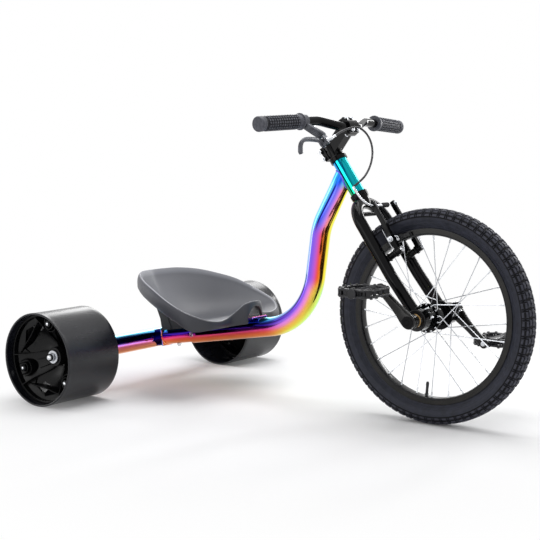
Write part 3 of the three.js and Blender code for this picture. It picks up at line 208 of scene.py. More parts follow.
def piece(shape, name, body, skins, replaces=(), place=None, crease=35, bevel=0, segments=2):
    """Makes the object of a shape, gives it its finishes and sets it on its body."""
    mesh = bpy.data.meshes.new(name)
    mesh.from_pydata([p * MM for p in shape.points], [], shape.faces)
    work = bmesh.new()
    work.from_mesh(mesh)
    bmesh.ops.recalc_face_normals(work, faces=work.faces)
    work.to_mesh(mesh)
    work.free()
    for mark, values in shape.marks.items():
        layer = mesh.attributes.new(mark, "FLOAT", "POINT")
        layer.data.foreach_set("value", values)
    for skin in skins if isinstance(skins, (list, tuple)) else [skins]:
        mesh.materials.append(skin)
    mesh.polygons.foreach_set("material_index", shape.skins)
    mesh.polygons.foreach_set("use_smooth", [True] * len(mesh.polygons))
    mesh.set_sharp_from_angle(angle=math.radians(crease))
    made = bpy.data.objects.new(name, mesh)
    bpy.context.collection.objects.link(made)
    made.matrix_world = BODY_FRAMES.get(body, Matrix()) if place is None else place
    if bevel:
        ease_edges(made, "rounded_edges", bevel, segments)
    if body:
        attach(made, body)
    if replaces:
        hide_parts(*replaces)
    return made


def bent(corners, radii, step=4):
    """The places along straight runs joined by arcs, one radius for each inner corner."""
    corners = [Vector(c) for c in corners]
    places = [corners[0]]
    for i, radius in enumerate(radii, start=1):
        inward = (corners[i] - corners[i - 1]).normalized()
        outward = (corners[i + 1] - corners[i]).normalized()
        turn = inward.angle(outward)
        if turn < 1e-4:
            places.append(corners[i])
            continue
        axis = inward.cross(outward).normalized()
        start = corners[i] - inward * radius * math.tan(turn / 2)
        arm = inward.cross(axis).normalized() * radius
        count = max(2, math.ceil(math.degrees(turn) / step))
        for k in range(count + 1):
            places.append(start - arm + Quaternion(axis, turn * k / count) @ arm)
    places.append(corners[-1])
    return places


def stations(path, gap):
    """The same path with extra places, so that none are further apart than gap."""
    places = [path[0]]
    for start, end in zip(path, path[1:]):
        count = max(1, math.ceil((end - start).length / gap))
        places.extend(start.lerp(end, k / count) for k in range(1, count + 1))
    return places


def flowing(points, count):
    """A smooth curve through points, with count places between each pair."""
    points = [Vector(p) for p in points]
    last = len(points) - 1
    places = []
    for i in range(last):
        p0, p1, p2, p3 = (points[min(max(i + k, 0), last)] for k in (-1, 0, 1, 2))
        for k in range(count):
            t = k / count
            places.append(
                0.5 * (2 * p1 + (p2 - p0) * t + (2 * p0 - 5 * p1 + 4 * p2 - p3) * t ** 2
                       + (3 * p1 - p0 - 3 * p2 + p3) * t ** 3)
            )
    places.append(points[-1])
    return places


def centripetal(knots, count, closed=False):
    """A smooth curve through knots, its pace set by the root of their distances."""
    knots = [Vector(p) for p in knots]
    if closed:
        spans = [[knots[(i + k) % len(knots)] for k in (-1, 0, 1, 2)] for i in range(len(knots))]
    else:
        knots = [2 * knots[0] - knots[1]] + knots + [2 * knots[-1] - knots[-2]]
        spans = [knots[i - 1:i + 3] for i in range(1, len(knots) - 2)]
    places = []
    for p in spans:
        t = [0.0]
        for start, end in zip(p, p[1:]):
            t.append(t[-1] + (end - start).length ** 0.5)
        for k in range(count):
            w = t[1] + (t[2] - t[1]) * k / count
            a = [p[n].lerp(p[n + 1], (w - t[n]) / (t[n + 1] - t[n])) for n in range(3)]
            b = [a[n].lerp(a[n + 1], (w - t[n]) / (t[n + 2] - t[n])) for n in range(2)]
            places.append(b[0].lerp(b[1], (w - t[1]) / (t[2] - t[1])))
    return places if closed else places + [knots[-2]]


def squared_round(sides, flat_x, flat_y):
    """Pairs on a circle whose sides are flattened towards a square."""
    return [(math.copysign(abs(math.cos(a)) ** flat_x, math.cos(a)),
             math.copysign(abs(math.sin(a)) ** flat_y, math.sin(a))) for a in round_angles(sides)]


def rounded(outline, radius, steps=4):
    """An outline in X and Z with its corners rounded."""
    result = []
    for i, corner in enumerate(outline):
        before, here, after = Vector(outline[i - 1]), Vector(corner), Vector(outline[(i + 1) % len(outline)])
        reach = min(radius, (before - here).length * 0.45, (after - here).length * 0.45)
        start, end = here + (before - here).normalized() * reach, here + (after - here).normalized() * reach
        for k in range(steps + 1):
            t = k / steps
            result.append(tuple(start * (1 - t) ** 2 + here * 2 * t * (1 - t) + end * t ** 2))
    return result


def mirrored(place):
    """The same place on the other side."""
    x, y, z = place
    return Vector((x, -y, z))


def facing(side):
    """Turns a shape drawn on the left so that it points to its own side."""
    return Matrix() if side > 0 else Matrix.Rotation(math.pi, 4, "Z")


# Finishes. One function adds a node with its settings and links

def node(tree, kind, stops=None, inputs=None, **settings):
    made = tree.nodes.new("ShaderNode" + kind)
    for name, value in settings.items():
        setattr(made, name, value)
    for i, (place, colour) in enumerate(stops or []):
        ramp = made.color_ramp.elements
        stop = ramp[i] if i < 2 else ramp.new(place)
        stop.position = place
        stop.color = linear(colour) if isinstance(colour, str) else (colour, colour, colour, 1)
    for socket, value in (inputs or {}).items():
        if isinstance(value, bpy.types.NodeSocket):
            tree.links.new(value, made.inputs[socket])
        else:
            made.inputs[socket].default_value = value
    return made


def maths(tree, operation, *values):
    return node(tree, "Math", operation=operation, inputs=dict(enumerate(values))).outputs["Value"]


def ranged(tree, value, low, high, to_low=0.0, to_high=1.0, **settings):
    return node(tree, "MapRange", inputs={
        "Value": value, "From Min": low, "From Max": high, "To Min": to_low, "To Max": to_high,
    }, **settings).outputs["Result"]


def noise(tree, place, scale, detail):
    return node(tree, "TexNoise", inputs={"Vector": place, "Scale": scale, "Detail": detail}).outputs["Fac"]


def ramp(tree, share, stops):
    return node(tree, "ValToRGB", inputs={"Fac": share}, stops=stops).outputs["Color"]


def mixed(tree, share, first, second):
    return node(tree, "Mix", data_type="RGBA", inputs={0: share, 6: first, 7: second}).outputs[2]


def object_place(tree):
    return node(tree, "TexCoord").outputs["Object"]


def mark_of(tree, name):
    return node(tree, "Attribute", attribute_name=name, attribute_type="GEOMETRY").outputs["Fac"]


def shader_of(material):
    return material.node_tree.nodes["Principled BSDF"]


def finish(name, tones, mottle, grain, relief, rough, stretch=(1, 1, 1), **sockets):
    """A surface with two tones in patches of mottle millimetres, a grain of that size and relief in
    millimetres, and a roughness between two values."""
    material = bpy.data.materials.new(name)
    material.use_nodes = True
    tree, shader = material.node_tree, shader_of(material)
    spread = node(tree, "Mapping", inputs={"Vector": object_place(tree), "Scale": stretch}).outputs["Vector"]
    patches = noise(tree, spread, 1 / (mottle * MM), 5.0)
    fine = noise(tree, spread, 1 / (grain * MM), 3.0)
    bump = node(tree, "Bump", inputs={"Height": fine, "Distance": relief * MM, "Strength": 1.0})
    tree.links.new(ramp(tree, patches, [(0.35, tones[0]), (0.65, tones[1])]), shader.inputs["Base Color"])
    tree.links.new(ranged(tree, patches, 0.3, 0.7, *rough), shader.inputs["Roughness"])
    tree.links.new(bump.outputs["Normal"], shader.inputs["Normal"])
    for socket, value in sockets.items():
        shader.inputs[socket.replace("_", " ")].default_value = value
    return material


# Gloss black enamel, sprayed on steel: deep black with a faint orange peel that softens reflections
gloss_enamel = finish("sprayed_gloss_black_enamel", ("#060608", "#0a0a0c"), 60, 3, 0.002, (0.08, 0.13),
                      IOR=1.5)
# Its reflections fade where it is seen square on and gather along its edges
enamel_tree = gloss_enamel.node_tree
edge_on = node(enamel_tree, "LayerWeight", inputs={"Blend": 0.5}).outputs["Facing"]
sheen = ranged(enamel_tree, edge_on, 0.62, 0.92, 0.12, 0.9)
enamel_tree.links.new(sheen, shader_of(gloss_enamel).inputs["Specular IOR Level"])
# Satin black powder coat on forged alloy: dark with a dry sheen and a fine pebble
satin_powder = finish("baked_satin_black_powder_coat", ("#0e0e10", "#161618"), 25, 0.9, 0.02, (0.3, 0.4),
                      IOR=1.5, Specular_IOR_Level=0.3)
# High density polyethylene, blow moulded: semi-gloss black skin with slow waves
blown_plastic = finish("blow_moulded_black_polyethylene", ("#0e0f14", "#16171e"), 70, 14, 0.1, (0.2, 0.3),
                       stretch=(1, 0.25, 1), IOR=1.5, Specular_IOR_Level=0.42)
# Nylon with glass fibre, injection moulded: black, with a slight flow mottle
moulded_nylon = finish("injection_moulded_black_nylon", ("#050506", "#0a0a0c"), 18, 0.8, 0.008, (0.24, 0.36),
                       IOR=1.52, Specular_IOR_Level=0.22)
# Vulcanised tyre rubber: blue-black with a dusty bloom
tyre_rubber = finish("vulcanised_black_tyre_rubber", ("#22242d", "#2d2f3a"), 14, 1.2, 0.03, (0.42, 0.58),
                     IOR=1.52, Specular_IOR_Level=0.22)
tread_rubber = finish("scuffed_black_tread_rubber", ("#32333c", "#44454f"), 6, 1.0, 0.05, (0.5, 0.66),
                      IOR=1.52, Specular_IOR_Level=0.22)
# The same rubber at the foot of the grooves, where dust and light don't reach
groove_rubber = finish("matt_black_groove_rubber", ("#08080b", "#0f0f13"), 6, 1.0, 0.05, (0.6, 0.75),
                       IOR=1.52, Specular_IOR_Level=0.15)
# Soft grip rubber, compression moulded: charcoal and dull
grip_rubber = finish("compression_moulded_grip_rubber", ("#484950", "#5a5b63"), 8, 0.7, 0.03, (0.42, 0.56),
                     IOR=1.5, Specular_IOR_Level=0.3)
# The grip's grooves: the same rubber, darker as painted shade
grip_groove = finish("compression_moulded_groove_rubber", ("#202125", "#2b2c31"), 8, 0.7, 0.03, (0.5, 0.62),
                     IOR=1.5, Specular_IOR_Level=0.25)
# Black rubber for the brake pads and boot: dull and even
dull_rubber = finish("moulded_dull_black_rubber", ("#151517", "#1f1f22"), 9, 0.8, 0.06, (0.5, 0.65))
# PVC cable housing, extruded: smooth semi-gloss black
extruded_pvc = finish("extruded_black_pvc_housing", ("#1c1c20", "#26262b"), 12, 1.5, 0.02, (0.28, 0.38))
# Zinc plated steel: cold bright silver with a faint cloudiness
zinc_plate = finish("zinc_plated_steel", ("#c9ccd1", "#e3e5e8"), 6, 0.8, 0.02, (0.18, 0.3), Metallic=1.0)
# Stainless spokes, drawn: bright, streaked along the wire
drawn_stainless = finish("drawn_stainless_wire", ("#c6c9ce", "#dfe1e5"), 9, 0.6, 0.01, (0.16, 0.26),
                         Metallic=1.0)
# Cast aluminium, tumbled and clear coated: grey satin metal
tumbled_alloy = finish("tumbled_grey_aluminium", ("#3c3d42", "#4b4c52"), 12, 0.7, 0.02, (0.36, 0.46),
                       Metallic=0.6)
# Brake track: black over machined aluminium, worn thin by the pads so that grey shows through
machined_track = finish("black_brake_track", ("#171614", "#211f1d"), 40, 0.5, 0.003, (0.2, 0.28),
                        Metallic=0.3, Specular_IOR_Level=0.4)
# Black anodised rim alloy, extruded: satin with a warm grey cast
rim_anodised = finish("black_anodised_extruded_rim", ("#131315", "#1c1c1e"), 22, 0.7, 0.01, (0.16, 0.26),
                      Metallic=0.2, Specular_IOR_Level=0.3)
# Bronze sleeve, turned: brownish metal
turned_bronze = finish("turned_bronze", ("#8f7650", "#b09364"), 5, 0.5, 0.02, (0.24, 0.34), Metallic=1.0)
# Bearing steel, ground: bright and cold
ground_steel = finish("ground_bearing_steel", ("#b9bcc2", "#d8dade"), 5, 0.5, 0.01, (0.14, 0.22),
                      Metallic=1.0)


def coloured_chrome(name, films, turning=False, clouds=0.004, rough=(0.06, 0.12)):
    """A vacuum coat over polished steel, with slight cloudiness. Its hue follows the tint marked on the
    piece; or, turning, the angle round the piece, and passes from film to film by the zone marked."""
    material = finish(name, ("#cccccc", "#dddddd"), 35, 4, 0.004, rough, Metallic=1.0)
    tree = material.node_tree
    tint, zone = mark_of(tree, "tint"), mark_of(tree, "zone")
    if turning:
        angle = maths(tree, "ARCTAN2", mark_of(tree, "round_b"), mark_of(tree, "round_a"))
        tint = maths(tree, "MULTIPLY_ADD", angle, 0.5 / math.pi, 0.5)
    drift = noise(tree, object_place(tree), 9.0, 1.0)
    shifted = maths(tree, "MULTIPLY_ADD", maths(tree, "SUBTRACT", drift, 0.5), clouds, tint)
    colour = ramp(tree, shifted, films[0])
    for i, stops in enumerate(films[1:]):
        colour = mixed(tree, ranged(tree, zone, i, i + 1), colour, ramp(tree, shifted, stops))
    tree.links.new(colour, shader_of(material).inputs["Base Color"])
    return material


def round_marks(shape, angles, zones):
    """Keep the angle round a piece, in degrees, on its corners, and the zone of film along it."""
    shape.marks["round_a"] = [-math.cos(math.radians(a)) for a in angles]
    shape.marks["round_b"] = [-math.sin(math.radians(a)) for a in angles]
    shape.marks["zone"] = zones


def film_round(start, stops, rest):
    """Film colours round a tube: first by the share of the width seen from one side, whose edge lies at
    an angle, then by the angle itself on the side that faces away."""
    seen = [(max(start + math.degrees(math.acos(1 - 2 * share)), 0) / 360, colour) for share, colour in stops]
    return sorted(seen + [(angle / 360, colour) for angle, colour in rest])


# Oil slick chrome: titanium nitride films over polished steel, from ice blue through navy, violet,
# magenta and orange to yellow and green as the film thickens round the tube. The narrow near-black band
# between orange and yellow is a painted dark reflection
OIL_SLICK = [(0.0, "#d4f2fa"), (0.07, "#86daf5"), (0.15, "#48b4f2"), (0.19, "#2d6fd8"), (0.205, "#10124e"),
             (0.235, "#1a1264"), (0.25, "#4a45c8"), (0.3, "#7a6cec"), (0.38, "#a884f2"), (0.45, "#e08aea"),
             (0.51, "#f585bc"), (0.57, "#f5838c"), (0.63, "#f59a66"), (0.69, "#f3ae4c"), (0.715, "#8a4a14"),
             (0.73, "#241004"), (0.765, "#2a1505"), (0.78, "#b8860e"), (0.82, "#f0d236"), (0.88, "#f8ee6a"),
             (0.94, "#b4ec7c"), (1.0, "#5cdcb8")]
oil_slick = coloured_chrome("vacuum_coated_oil_slick_steel", [OIL_SLICK])
# The same coat round the main tube, where the film swings further: level, in the bend, upright, leaning
# back to the head tube, and in the last reach of heat beside the weld. The bend, upright and leaning films
# turn pale at both edges of the side they are seen from: painted reflections of soft boxes, in the film's
# hue. The narrow near-black bands in the upright, leaning and weld films are painted dark reflections
LEVEL_FILM = film_round(-10, [(0.01, "#7ae0e0"), (0.08, "#4ccfe4"), (0.2, "#2f9cd8"), (0.27, "#1c4ca8"),
                              (0.33, "#0c1450"), (0.4, "#120c46"), (0.46, "#3018a0"), (0.53, "#7426b0"),
                              (0.6, "#c838a8"), (0.68, "#f44c8c"), (0.78, "#fc6456"), (0.89, "#fd8448"),
                              (1, "#fca050")], [(215, "#f0c858"), (270, "#c0e07c"), (320, "#8ce4c0"),
                                                (360, "#86e2e0")])
BEND_FILM = film_round(12, [(0, "#a4c8f6"), (0.07, "#8cacf4"), (0.11, "#3c2488"), (0.19, "#331a78"),
                            (0.25, "#7a50dc"), (0.34, "#aa74ec"), (0.44, "#e486e6"), (0.54, "#f498c4"),
                            (0.62, "#f6a87c"), (0.7, "#f6c05c"), (0.8, "#f4d850"), (0.9, "#e2ea62"),
                            (1, "#b4ee7c")], [(0, "#a8d8f8"), (230, "#80ecc0"), (300, "#9ae4ec"),
                                              (360, "#a8d8f8")])
UPRIGHT_FILM = film_round(37, [(0, "#a8e4fa"), (0.05, "#98b4f6"), (0.1, "#7c6cf0"), (0.2, "#8e5ee6"),
                               (0.3, "#ae60dc"), (0.39, "#d05cc0"), (0.46, "#e4568c"), (0.53, "#ee5a4c"),
                               (0.58, "#ee6a30"), (0.64, "#f08030"), (0.7, "#f49834"), (0.775, "#f6b440"),
                               (0.79, "#2c1408"), (0.82, "#2a1608"), (0.84, "#f0cc34"), (0.9, "#fcee48"),
                               (1, "#e0f070")], [(0, "#b4ecfa"), (240, "#b0ec90"), (300, "#90e4dc"),
                                                 (360, "#b4ecfa")])
LEANING_FILM = film_round(37, [(0, "#9ce6fc"), (0.08, "#6cccf8"), (0.14, "#4a9ef0"), (0.16, "#10105c"),
                               (0.215, "#101054"), (0.24, "#4a58e0"), (0.32, "#7272f0"), (0.4, "#987cf0"),
                               (0.48, "#ca88e8"), (0.55, "#ee8cc0"), (0.62, "#f5909a"), (0.7, "#f6a070"),
                               (0.77, "#f8c858"), (0.8, "#38200a"), (0.825, "#2c1806"), (0.85, "#f6e840"),
                               (0.92, "#faf456"), (1, "#e0f278")], [(0, "#b4ecfa"), (240, "#b0ec90"),
                                                                    (300, "#90e4dc"), (360, "#b4ecfa")])
WELD_FILM = film_round(37, [(0, "#58c4f6"), (0.12, "#2f8ef0"), (0.22, "#1c4cd4"), (0.34, "#2464e4"),
                            (0.44, "#58b4ee"), (0.54, "#50bcc8"), (0.62, "#1e7a64"), (0.7, "#3cac5c"),
                            (0.78, "#c0dc50"), (0.84, "#30400f"), (0.89, "#f2ec48"), (1, "#e8f070")],
                       [(0, "#8cd8f8"), (240, "#90e490"), (300, "#68d8d4"), (360, "#8cd8f8")])
oil_slick_tube = coloured_chrome("vacuum_coated_oil_slick_bent_tube",
                                 [LEVEL_FILM, BEND_FILM, UPRIGHT_FILM, LEANING_FILM, WELD_FILM], turning=True)

# Teal chrome: the same coat held at one thickness, bluer at the top of the head tube than at its foot. The
# narrow near-black band is a painted dark reflection, and the bright band after it, cyan at the top and
# green-teal at the foot, is a painted highlight
TEAL_TOP = film_round(0, [(0, "#52bcf2"), (0.06, "#2a9ce0"), (0.095, "#1a80c8"), (0.11, "#041c38"),
                          (0.175, "#04243c"), (0.195, "#12c4e0"), (0.25, "#26e6ee"), (0.31, "#18ccd8"),
                          (0.35, "#0c7ca6"), (0.45, "#0b7294"), (0.52, "#109aa8"), (0.84, "#12a6ac"),
                          (0.91, "#1cbcc4"), (0.96, "#40d8e0"), (1, "#22b8c8")],
                      [(240, "#11a3a8"), (320, "#158a9a"), (360, "#52bcf2")])
TEAL_FOOT = film_round(0, [(0, "#3cc890"), (0.06, "#22b478"), (0.095, "#18a070"), (0.11, "#023828"),
                           (0.175, "#043c30"), (0.195, "#10e49a"), (0.25, "#1cf2ae"), (0.31, "#12d0a4"),
                           (0.35, "#084c50"), (0.4, "#0a7480"), (0.5, "#0f94a0"), (0.84, "#10a0a6"),
                           (0.91, "#1cbcc4"), (0.96, "#4ce0e4"), (1, "#22b8c8")],
                       [(240, "#11a3a8"), (320, "#158a9a"), (360, "#3cc890")])
teal_chrome = coloured_chrome("vacuum_coated_teal_steel", [TEAL_TOP, TEAL_FOOT], turning=True, clouds=0.003)


def studio():
    floor = Shape()
    floor.box((60000, 60000, 10), (0, 0, -5.1))
    sweep = piece(floor, "studio_floor", None, [])
    paper = bpy.data.materials.new("matt_white_studio_paper")
    paper.use_nodes = True
    tree = paper.node_tree
    shader = shader_of(paper)
    shader.inputs["Roughness"].default_value = 0.9
    shader.inputs["Specular IOR Level"].default_value = 0.0
    place = object_place(tree)
    fibre = noise(tree, place, 900.0, 2.0)
    tree.links.new(ramp(tree, fibre, [(0.3, "#f4f4f5"), (0.7, "#f7f7f8")]), shader.inputs["Base Color"])
    # Far from the trike the paper glows as white as the surround, so that no horizon shows
    away = node(tree, "VectorMath", operation="LENGTH", inputs={0: place}).outputs["Value"]
    far = ranged(tree, away, 0.45, 1.15, interpolation_type="SMOOTHSTEP")
    ray = node(tree, "LightPath")
    seen = maths(tree, "MAXIMUM", ray.outputs["Is Camera Ray"], ray.outputs["Is Glossy Ray"])
    share = maths(tree, "MULTIPLY", far, seen)
    white = node(tree, "Emission", inputs={"Strength": 1.0})
    blend = node(tree, "MixShader", inputs={0: share})
    tree.links.new(shader.outputs["BSDF"], blend.inputs[1])
    tree.links.new(white.outputs["Emission"], blend.inputs[2])
    tree.links.new(blend.outputs["Shader"], tree.nodes["Material Output"].inputs["Surface"])
    sweep.data.materials.append(paper)

    world = bpy.data.worlds.new("studio_surround")
    world.use_nodes = True
    bpy.context.scene.world = world
    tree = world.node_tree
    ray = node(tree, "LightPath")
    seen = ray.outputs["Is Camera Ray"]
    for kind in ("Is Glossy Ray", "Is Transmission Ray"):
        seen = maths(tree, "MAXIMUM", seen, ray.outputs[kind])
    level = ranged(tree, seen, 0.0, 1.0, 0.5, 1.0)
    back = tree.nodes["Background"]
    back.inputs["Color"].default_value = (1, 1, 1, 1)
    tree.links.new(level, back.inputs["Strength"])

    boxes = [
        ("overhead_soft_box", (0.0, 0.3, 2.6), (0, 0, 0.2), (2.2, 1.6), 40),
        ("rear_soft_box", (-2.9, -0.8, 1.0), (0, 0, 0.35), (0.7, 1.8), 9),
        ("right_soft_box", (-0.9, -2.9, 0.9), (0, 0, 0.35), (2.0, 1.2), 12),
        ("left_strip", (0.6, 3.1, 1.25), (0.3, 0, 0.4), (0.3, 2.2), 34),
        ("far_soft_box", (-1.79, 2.03, 1.5), (-0.5, -0.3, 0.12), (1.8, 0.8), 18),
    ]
    for name, place, target, size, power in boxes:
        lamp = bpy.data.lights.new(name, "AREA")
        lamp.shape = "RECTANGLE"
        lamp.size, lamp.size_y = size
        lamp.energy = power
        box = bpy.data.objects.new(name, lamp)
        box.location = place
        box.rotation_euler = (Vector(target) - Vector(place)).to_track_quat("-Z", "Y").to_euler()
        bpy.context.collection.objects.link(box)
    bpy.context.scene.view_settings.view_transform = "Standard"


# Main tube and the rest of the rear frame

TUBE_RADIUS = 25
LOWER_CORNER = (533.8, 0, 0)
UPPER_CORNER = (607.9, 0, 235.6)
HEAD_JOIN = (701.0, 0, 357.5)
HEAD_TUBE_RADIUS = 18
HEAD_START, HEAD_END = 350.5, 445.5

# Stretches of the main tube over which one film passes into the next; the last change, beside the weld, is
# counted back from the head tube
FILM_CHANGES = [(255, 335), (440, 480), (585, 625)]
LAST_CHANGE = (45, 22)


def film_place(table, angle):
    """The place on a film at an angle, from pairs of angle and place."""
    for (low, start), (high, end) in zip(table, table[1:]):
        if angle <= high:
            return start + (end - start) * (angle - low) / (high - low)
    return table[-1][1]


def main_tube():
    path = stations(bent([(142, 0, 0), LOWER_CORNER, UPPER_CORNER, HEAD_JOIN], [166, 150], 2.5), 8)
    sides = 96
    runs = [0]
    for start, end in zip(path, path[1:]):
        runs.append(runs[-1] + (end - start).length)
    shape = Shape().tube(path, TUBE_RADIUS, sides)
    angles, zones = [], []
    upper, join = Vector(UPPER_CORNER), Vector(HEAD_JOIN)
    reach = (join - upper).length
    end_share = (HEAD_TUBE_RADIUS - 0.8) / TUBE_RADIUS
    changes = FILM_CHANGES + [tuple(runs[-1] - back for back in LAST_CHANGE)]
    for i, place in enumerate(path):
        zone = sum(smooth_share(runs[i], low, high) for low, high in changes)
        oval = end_share + (1 - end_share) * smooth_share((join - place).length, TUBE_RADIUS, reach)
        heading = way_at(path, i)
        inner = Vector((-heading.z, 0, heading.x))
        for k in range(sides):
            point = shape.points[i * sides + k]
            arm = point - place
            angles.append(math.degrees(math.atan2(-arm.y, arm.dot(inner))))
            zones.append(zone)
            point.y *= oval
    round_marks(shape, angles, zones)
    piece(shape, "main_tube_coated", "frame", oil_slick_tube, ["main_tube"])
    # The fillet of weld where the tube meets the head tube
    heading = (join - upper).normalized()
    head_axis = TUBE_LINE.to_3x3().inverted() @ (STEERING.to_3x3() @ Vector((0, 0, 1)))
    sideways, over, way = Vector((0, 1, 0)), heading.cross(Vector((0, 1, 0))), -heading
    flat = way - head_axis * way.dot(head_axis)
    a = flat.length_squared
    seam = []
    for angle in round_angles(64):
        across = sideways * math.cos(angle) * TUBE_RADIUS * end_share + over * math.sin(angle) * TUBE_RADIUS
        start = join + across
        offset = start - join
        offset -= head_axis * offset.dot(head_axis)
        b, c = 2 * offset.dot(flat), offset.length_squared - (HEAD_TUBE_RADIUS + 0.2) ** 2
        t = (-b + math.sqrt(max(b * b - 4 * a * c, 0))) / (2 * a)
        seam.append(start + way * t)
    bead = Shape()
    rings = []
    for k, place in enumerate(seam):
        ahead = (seam[(k + 1) % len(seam)] - seam[k - 1]).normalized()
        out = (place - join - heading * (place - join).dot(heading)).normalized()
        side = ahead.cross(out)
        rings.append([place + out * 2.2 * math.cos(w) + side * 2.2 * math.sin(w)
                      for w in round_angles(8)])
    bead.loft(rings, wrap=True)
    bead.marks["tint"] = [0.3] * len(bead.points)
    piece(bead, "head_joint_weld", "frame", oil_slick)


def axle_beam():
    """The wide tube round the rear axle. Its film runs from the top over the front to the bottom."""
    half = 258
    shape = Shape().turned([(23.5, -half), (25, -half), (26, -half + 1), (26, -60), (26, -30), (26, 30),
                            (26, 60), (26, half - 1), (25, half), (23.5, half)], 96, wrap=True)
    beam = [(0, 0.02), (52, 0.1), (62, 0.2), (96, 0.25), (104, 0.42), (120, 0.55), (140, 0.62), (180, 0.67),
            (230, 0.6), (270, 0.42), (300, 0.25), (330, 0.12), (360, 0.02)]
    up, front = Vector((-0.16, 0, 0.99)), Vector((0.99, 0, 0.16))
    shape.marks["tint"] = [
        film_place(beam, math.degrees(math.atan2(p.dot(front), p.dot(up))) % 360) for p in shape.points
    ]
    piece(shape, "axle_beam_coated", "frame", oil_slick, ["axle_beam"])


def seat_plate():
    """A folded channel over the main tube that carries the seat, its lower edges raised towards the ends."""
    outline = [(-31, 12), (-31, 27.5), (-29, 30.2), (29, 30.2), (31, 27.5), (31, 12), (28.2, 12), (28.2, 26),
               (26.8, 27.8), (-26.8, 27.8), (-28.2, 26), (-28.2, 12)]
    shape = Shape()
    rings = []
    for x in (226, 234, 300, 352, 376):
        lift = 8 if x in (226, 352) else 12 if x == 376 else 0
        rings.append([Vector((x, y, z + lift if z < 20 else z)) for y, z in outline])
    shape.loft(rings)
    # Dark navy low on the sides and beneath is painted shade under the seat; violet at the shoulders, pink
    # along the top
    shape.marks["tint"] = [0.225 if p.z < 27 else 0.3 if p.z < 29 else 0.56 for p in shape.points]
    piece(shape, "seat_plate_folded", "frame", oil_slick, ["seat_plate"], bevel=0.6)


def rear_fittings():
    bracket = Shape()
    # Two clamp halves with a thin gap, the front one with a raised flange
    for low, high, half, tall in ((-0.4, 17, 20, 23), (17.8, 38, 20, 23), (38, 42.4, 21.5, 25)):
        rings = []
        for x in (low, low + 1.2, high - 1.2, high):
            shrink = 1.2 if x in (low, high) else 0
            wide, up = half - shrink, tall - shrink
            corners = [(-wide, -up), (wide, -up), (wide, up), (-wide, up)]
            rings.append([Vector((x, y, z)) for y, z in rounded(corners, 5, 5)])
        bracket.loft(rings)
    # Dark navy over the block is painted shade; the pale ice blue ring round the flange's front edge is a
    # painted highlight; its front face is orange
    bracket.marks["tint"] = [0.66 if p.x > 42 else 0.12 if p.x > 41 else 0.215 for p in bracket.points]
    piece(bracket, "rear_bracket_coated", "frame", oil_slick)
    sleeve = Shape().tube(stations([Vector((40, 0, 0)), Vector((227, 0, 0))], 30), 22.2, 96)
    round_marks(sleeve, [math.degrees(math.atan2(-p.y, p.z)) for p in sleeve.points],
                [0] * len(sleeve.points))
    piece(sleeve, "stub_tube_coated", "frame", oil_slick_tube, ["rear_bracket"])
    # The bead of weld where the stub tube meets the bracket
    weld = Shape().turned([(22.2, -1.5), (24.6, -0.8), (25, 0), (24.6, 0.8), (22.2, 1.5)], 48, wrap=True,
                          place=Matrix.Translation((44, 0, 0)) @ Matrix.Rotation(math.pi / 2, 4, "Z"))
    weld.marks["tint"] = [0.63] * len(weld.points)
    piece(weld, "bracket_weld", "frame", oil_slick)


# Head tube, its cups and the steerer

UPRIGHT = Matrix.Rotation(math.pi / 2, 4, "X")
AHEAD = Matrix.Rotation(-math.pi / 2, 4, "Z")


def head_tube():
    """A polished sleeve with a small rolled lip at each end, its film turned to the right and the front."""
    shape = Shape().turned([(15.6, HEAD_START), (17.4, HEAD_START), (18, HEAD_START + 0.7),
                            (18, HEAD_START + 22), (18, HEAD_END - 22), (18, HEAD_END - 0.7),
                            (17.4, HEAD_END), (15.6, HEAD_END)], 96, wrap=True, place=UPRIGHT)
    round_marks(shape, [math.degrees(math.atan2(p.y, p.x)) + 143 for p in shape.points],
                [smooth_share(p.z, HEAD_END - 20, HEAD_START + 25) for p in shape.points])
    piece(shape, "head_tube_coated", "frame", teal_chrome, ["head_tube"], STEERING)


# Seat: a bucket over a pedestal, drawn from the same rim as the solid below it

SEAT_LENGTH, SEAT_WIDTH, SEAT_RISE = 359, 380, 155
SEAT_BACK, SEAT_FLOOR, SEAT_WALL = 3, 36, 5
SEAT_CENTRE = SEAT_BACK + SEAT_LENGTH * 0.52
RIM_LOW = 34
RIM_SHARES = [(0, 0, 1), (0.03, 0.2, 0.998), (0.09, 0.43, 0.98), (0.2, 0.665, 0.91), (0.333, 0.845, 0.79),
              (0.483, 0.965, 0.64), (0.678, 1, 0.37), (0.803, 0.947, 0.19), (0.892, 0.789, 0.05),
              (0.916, 0.605, 0), (0.912, 0.455, 0.007), (0.919, 0.335, 0.05), (0.955, 0.245, 0.13),
              (0.995, 0.175, 0.212), (1.022, 0.085, 0.24), (1.03, 0, 0.243)]
BOWL_SHARES = [(0.12, 0.0), (0.25, 0.008), (0.4, 0.03), (0.5, 0.065), (0.6, 0.12), (0.7, 0.225), (0.78, 0.35),
               (0.85, 0.51), (0.9, 0.66), (0.94, 0.79), (0.965, 0.88)]


def seat_rim(count):
    """The rim line: centripetal curves through the shares of the seat's length, half width and rise."""
    half = [Vector((SEAT_BACK + SEAT_LENGTH * x, SEAT_WIDTH / 2 * y, RIM_LOW + SEAT_RISE * z))
            for x, y, z in RIM_SHARES]
    return centripetal(half + [mirrored(p) for p in reversed(half[1:-1])], count, closed=True)


def skirt_foot(place):
    """The height of the skirt's lower edge: level above the tube in front, with an arch over it."""
    ahead = (place.x - SEAT_BACK) / SEAT_LENGTH
    back = place.z - 32 - 10 * smooth_share(ahead, 0, 0.5)
    level = 14
    foot = back + (level - back) * smooth_share(ahead, 0.7, 0.9)
    arch = 30
    if ahead > 0.9 and abs(place.y) < arch:
        foot += (place.z - 15 - level) * (1 - (place.y / arch) ** 2) ** 0.45
    return foot


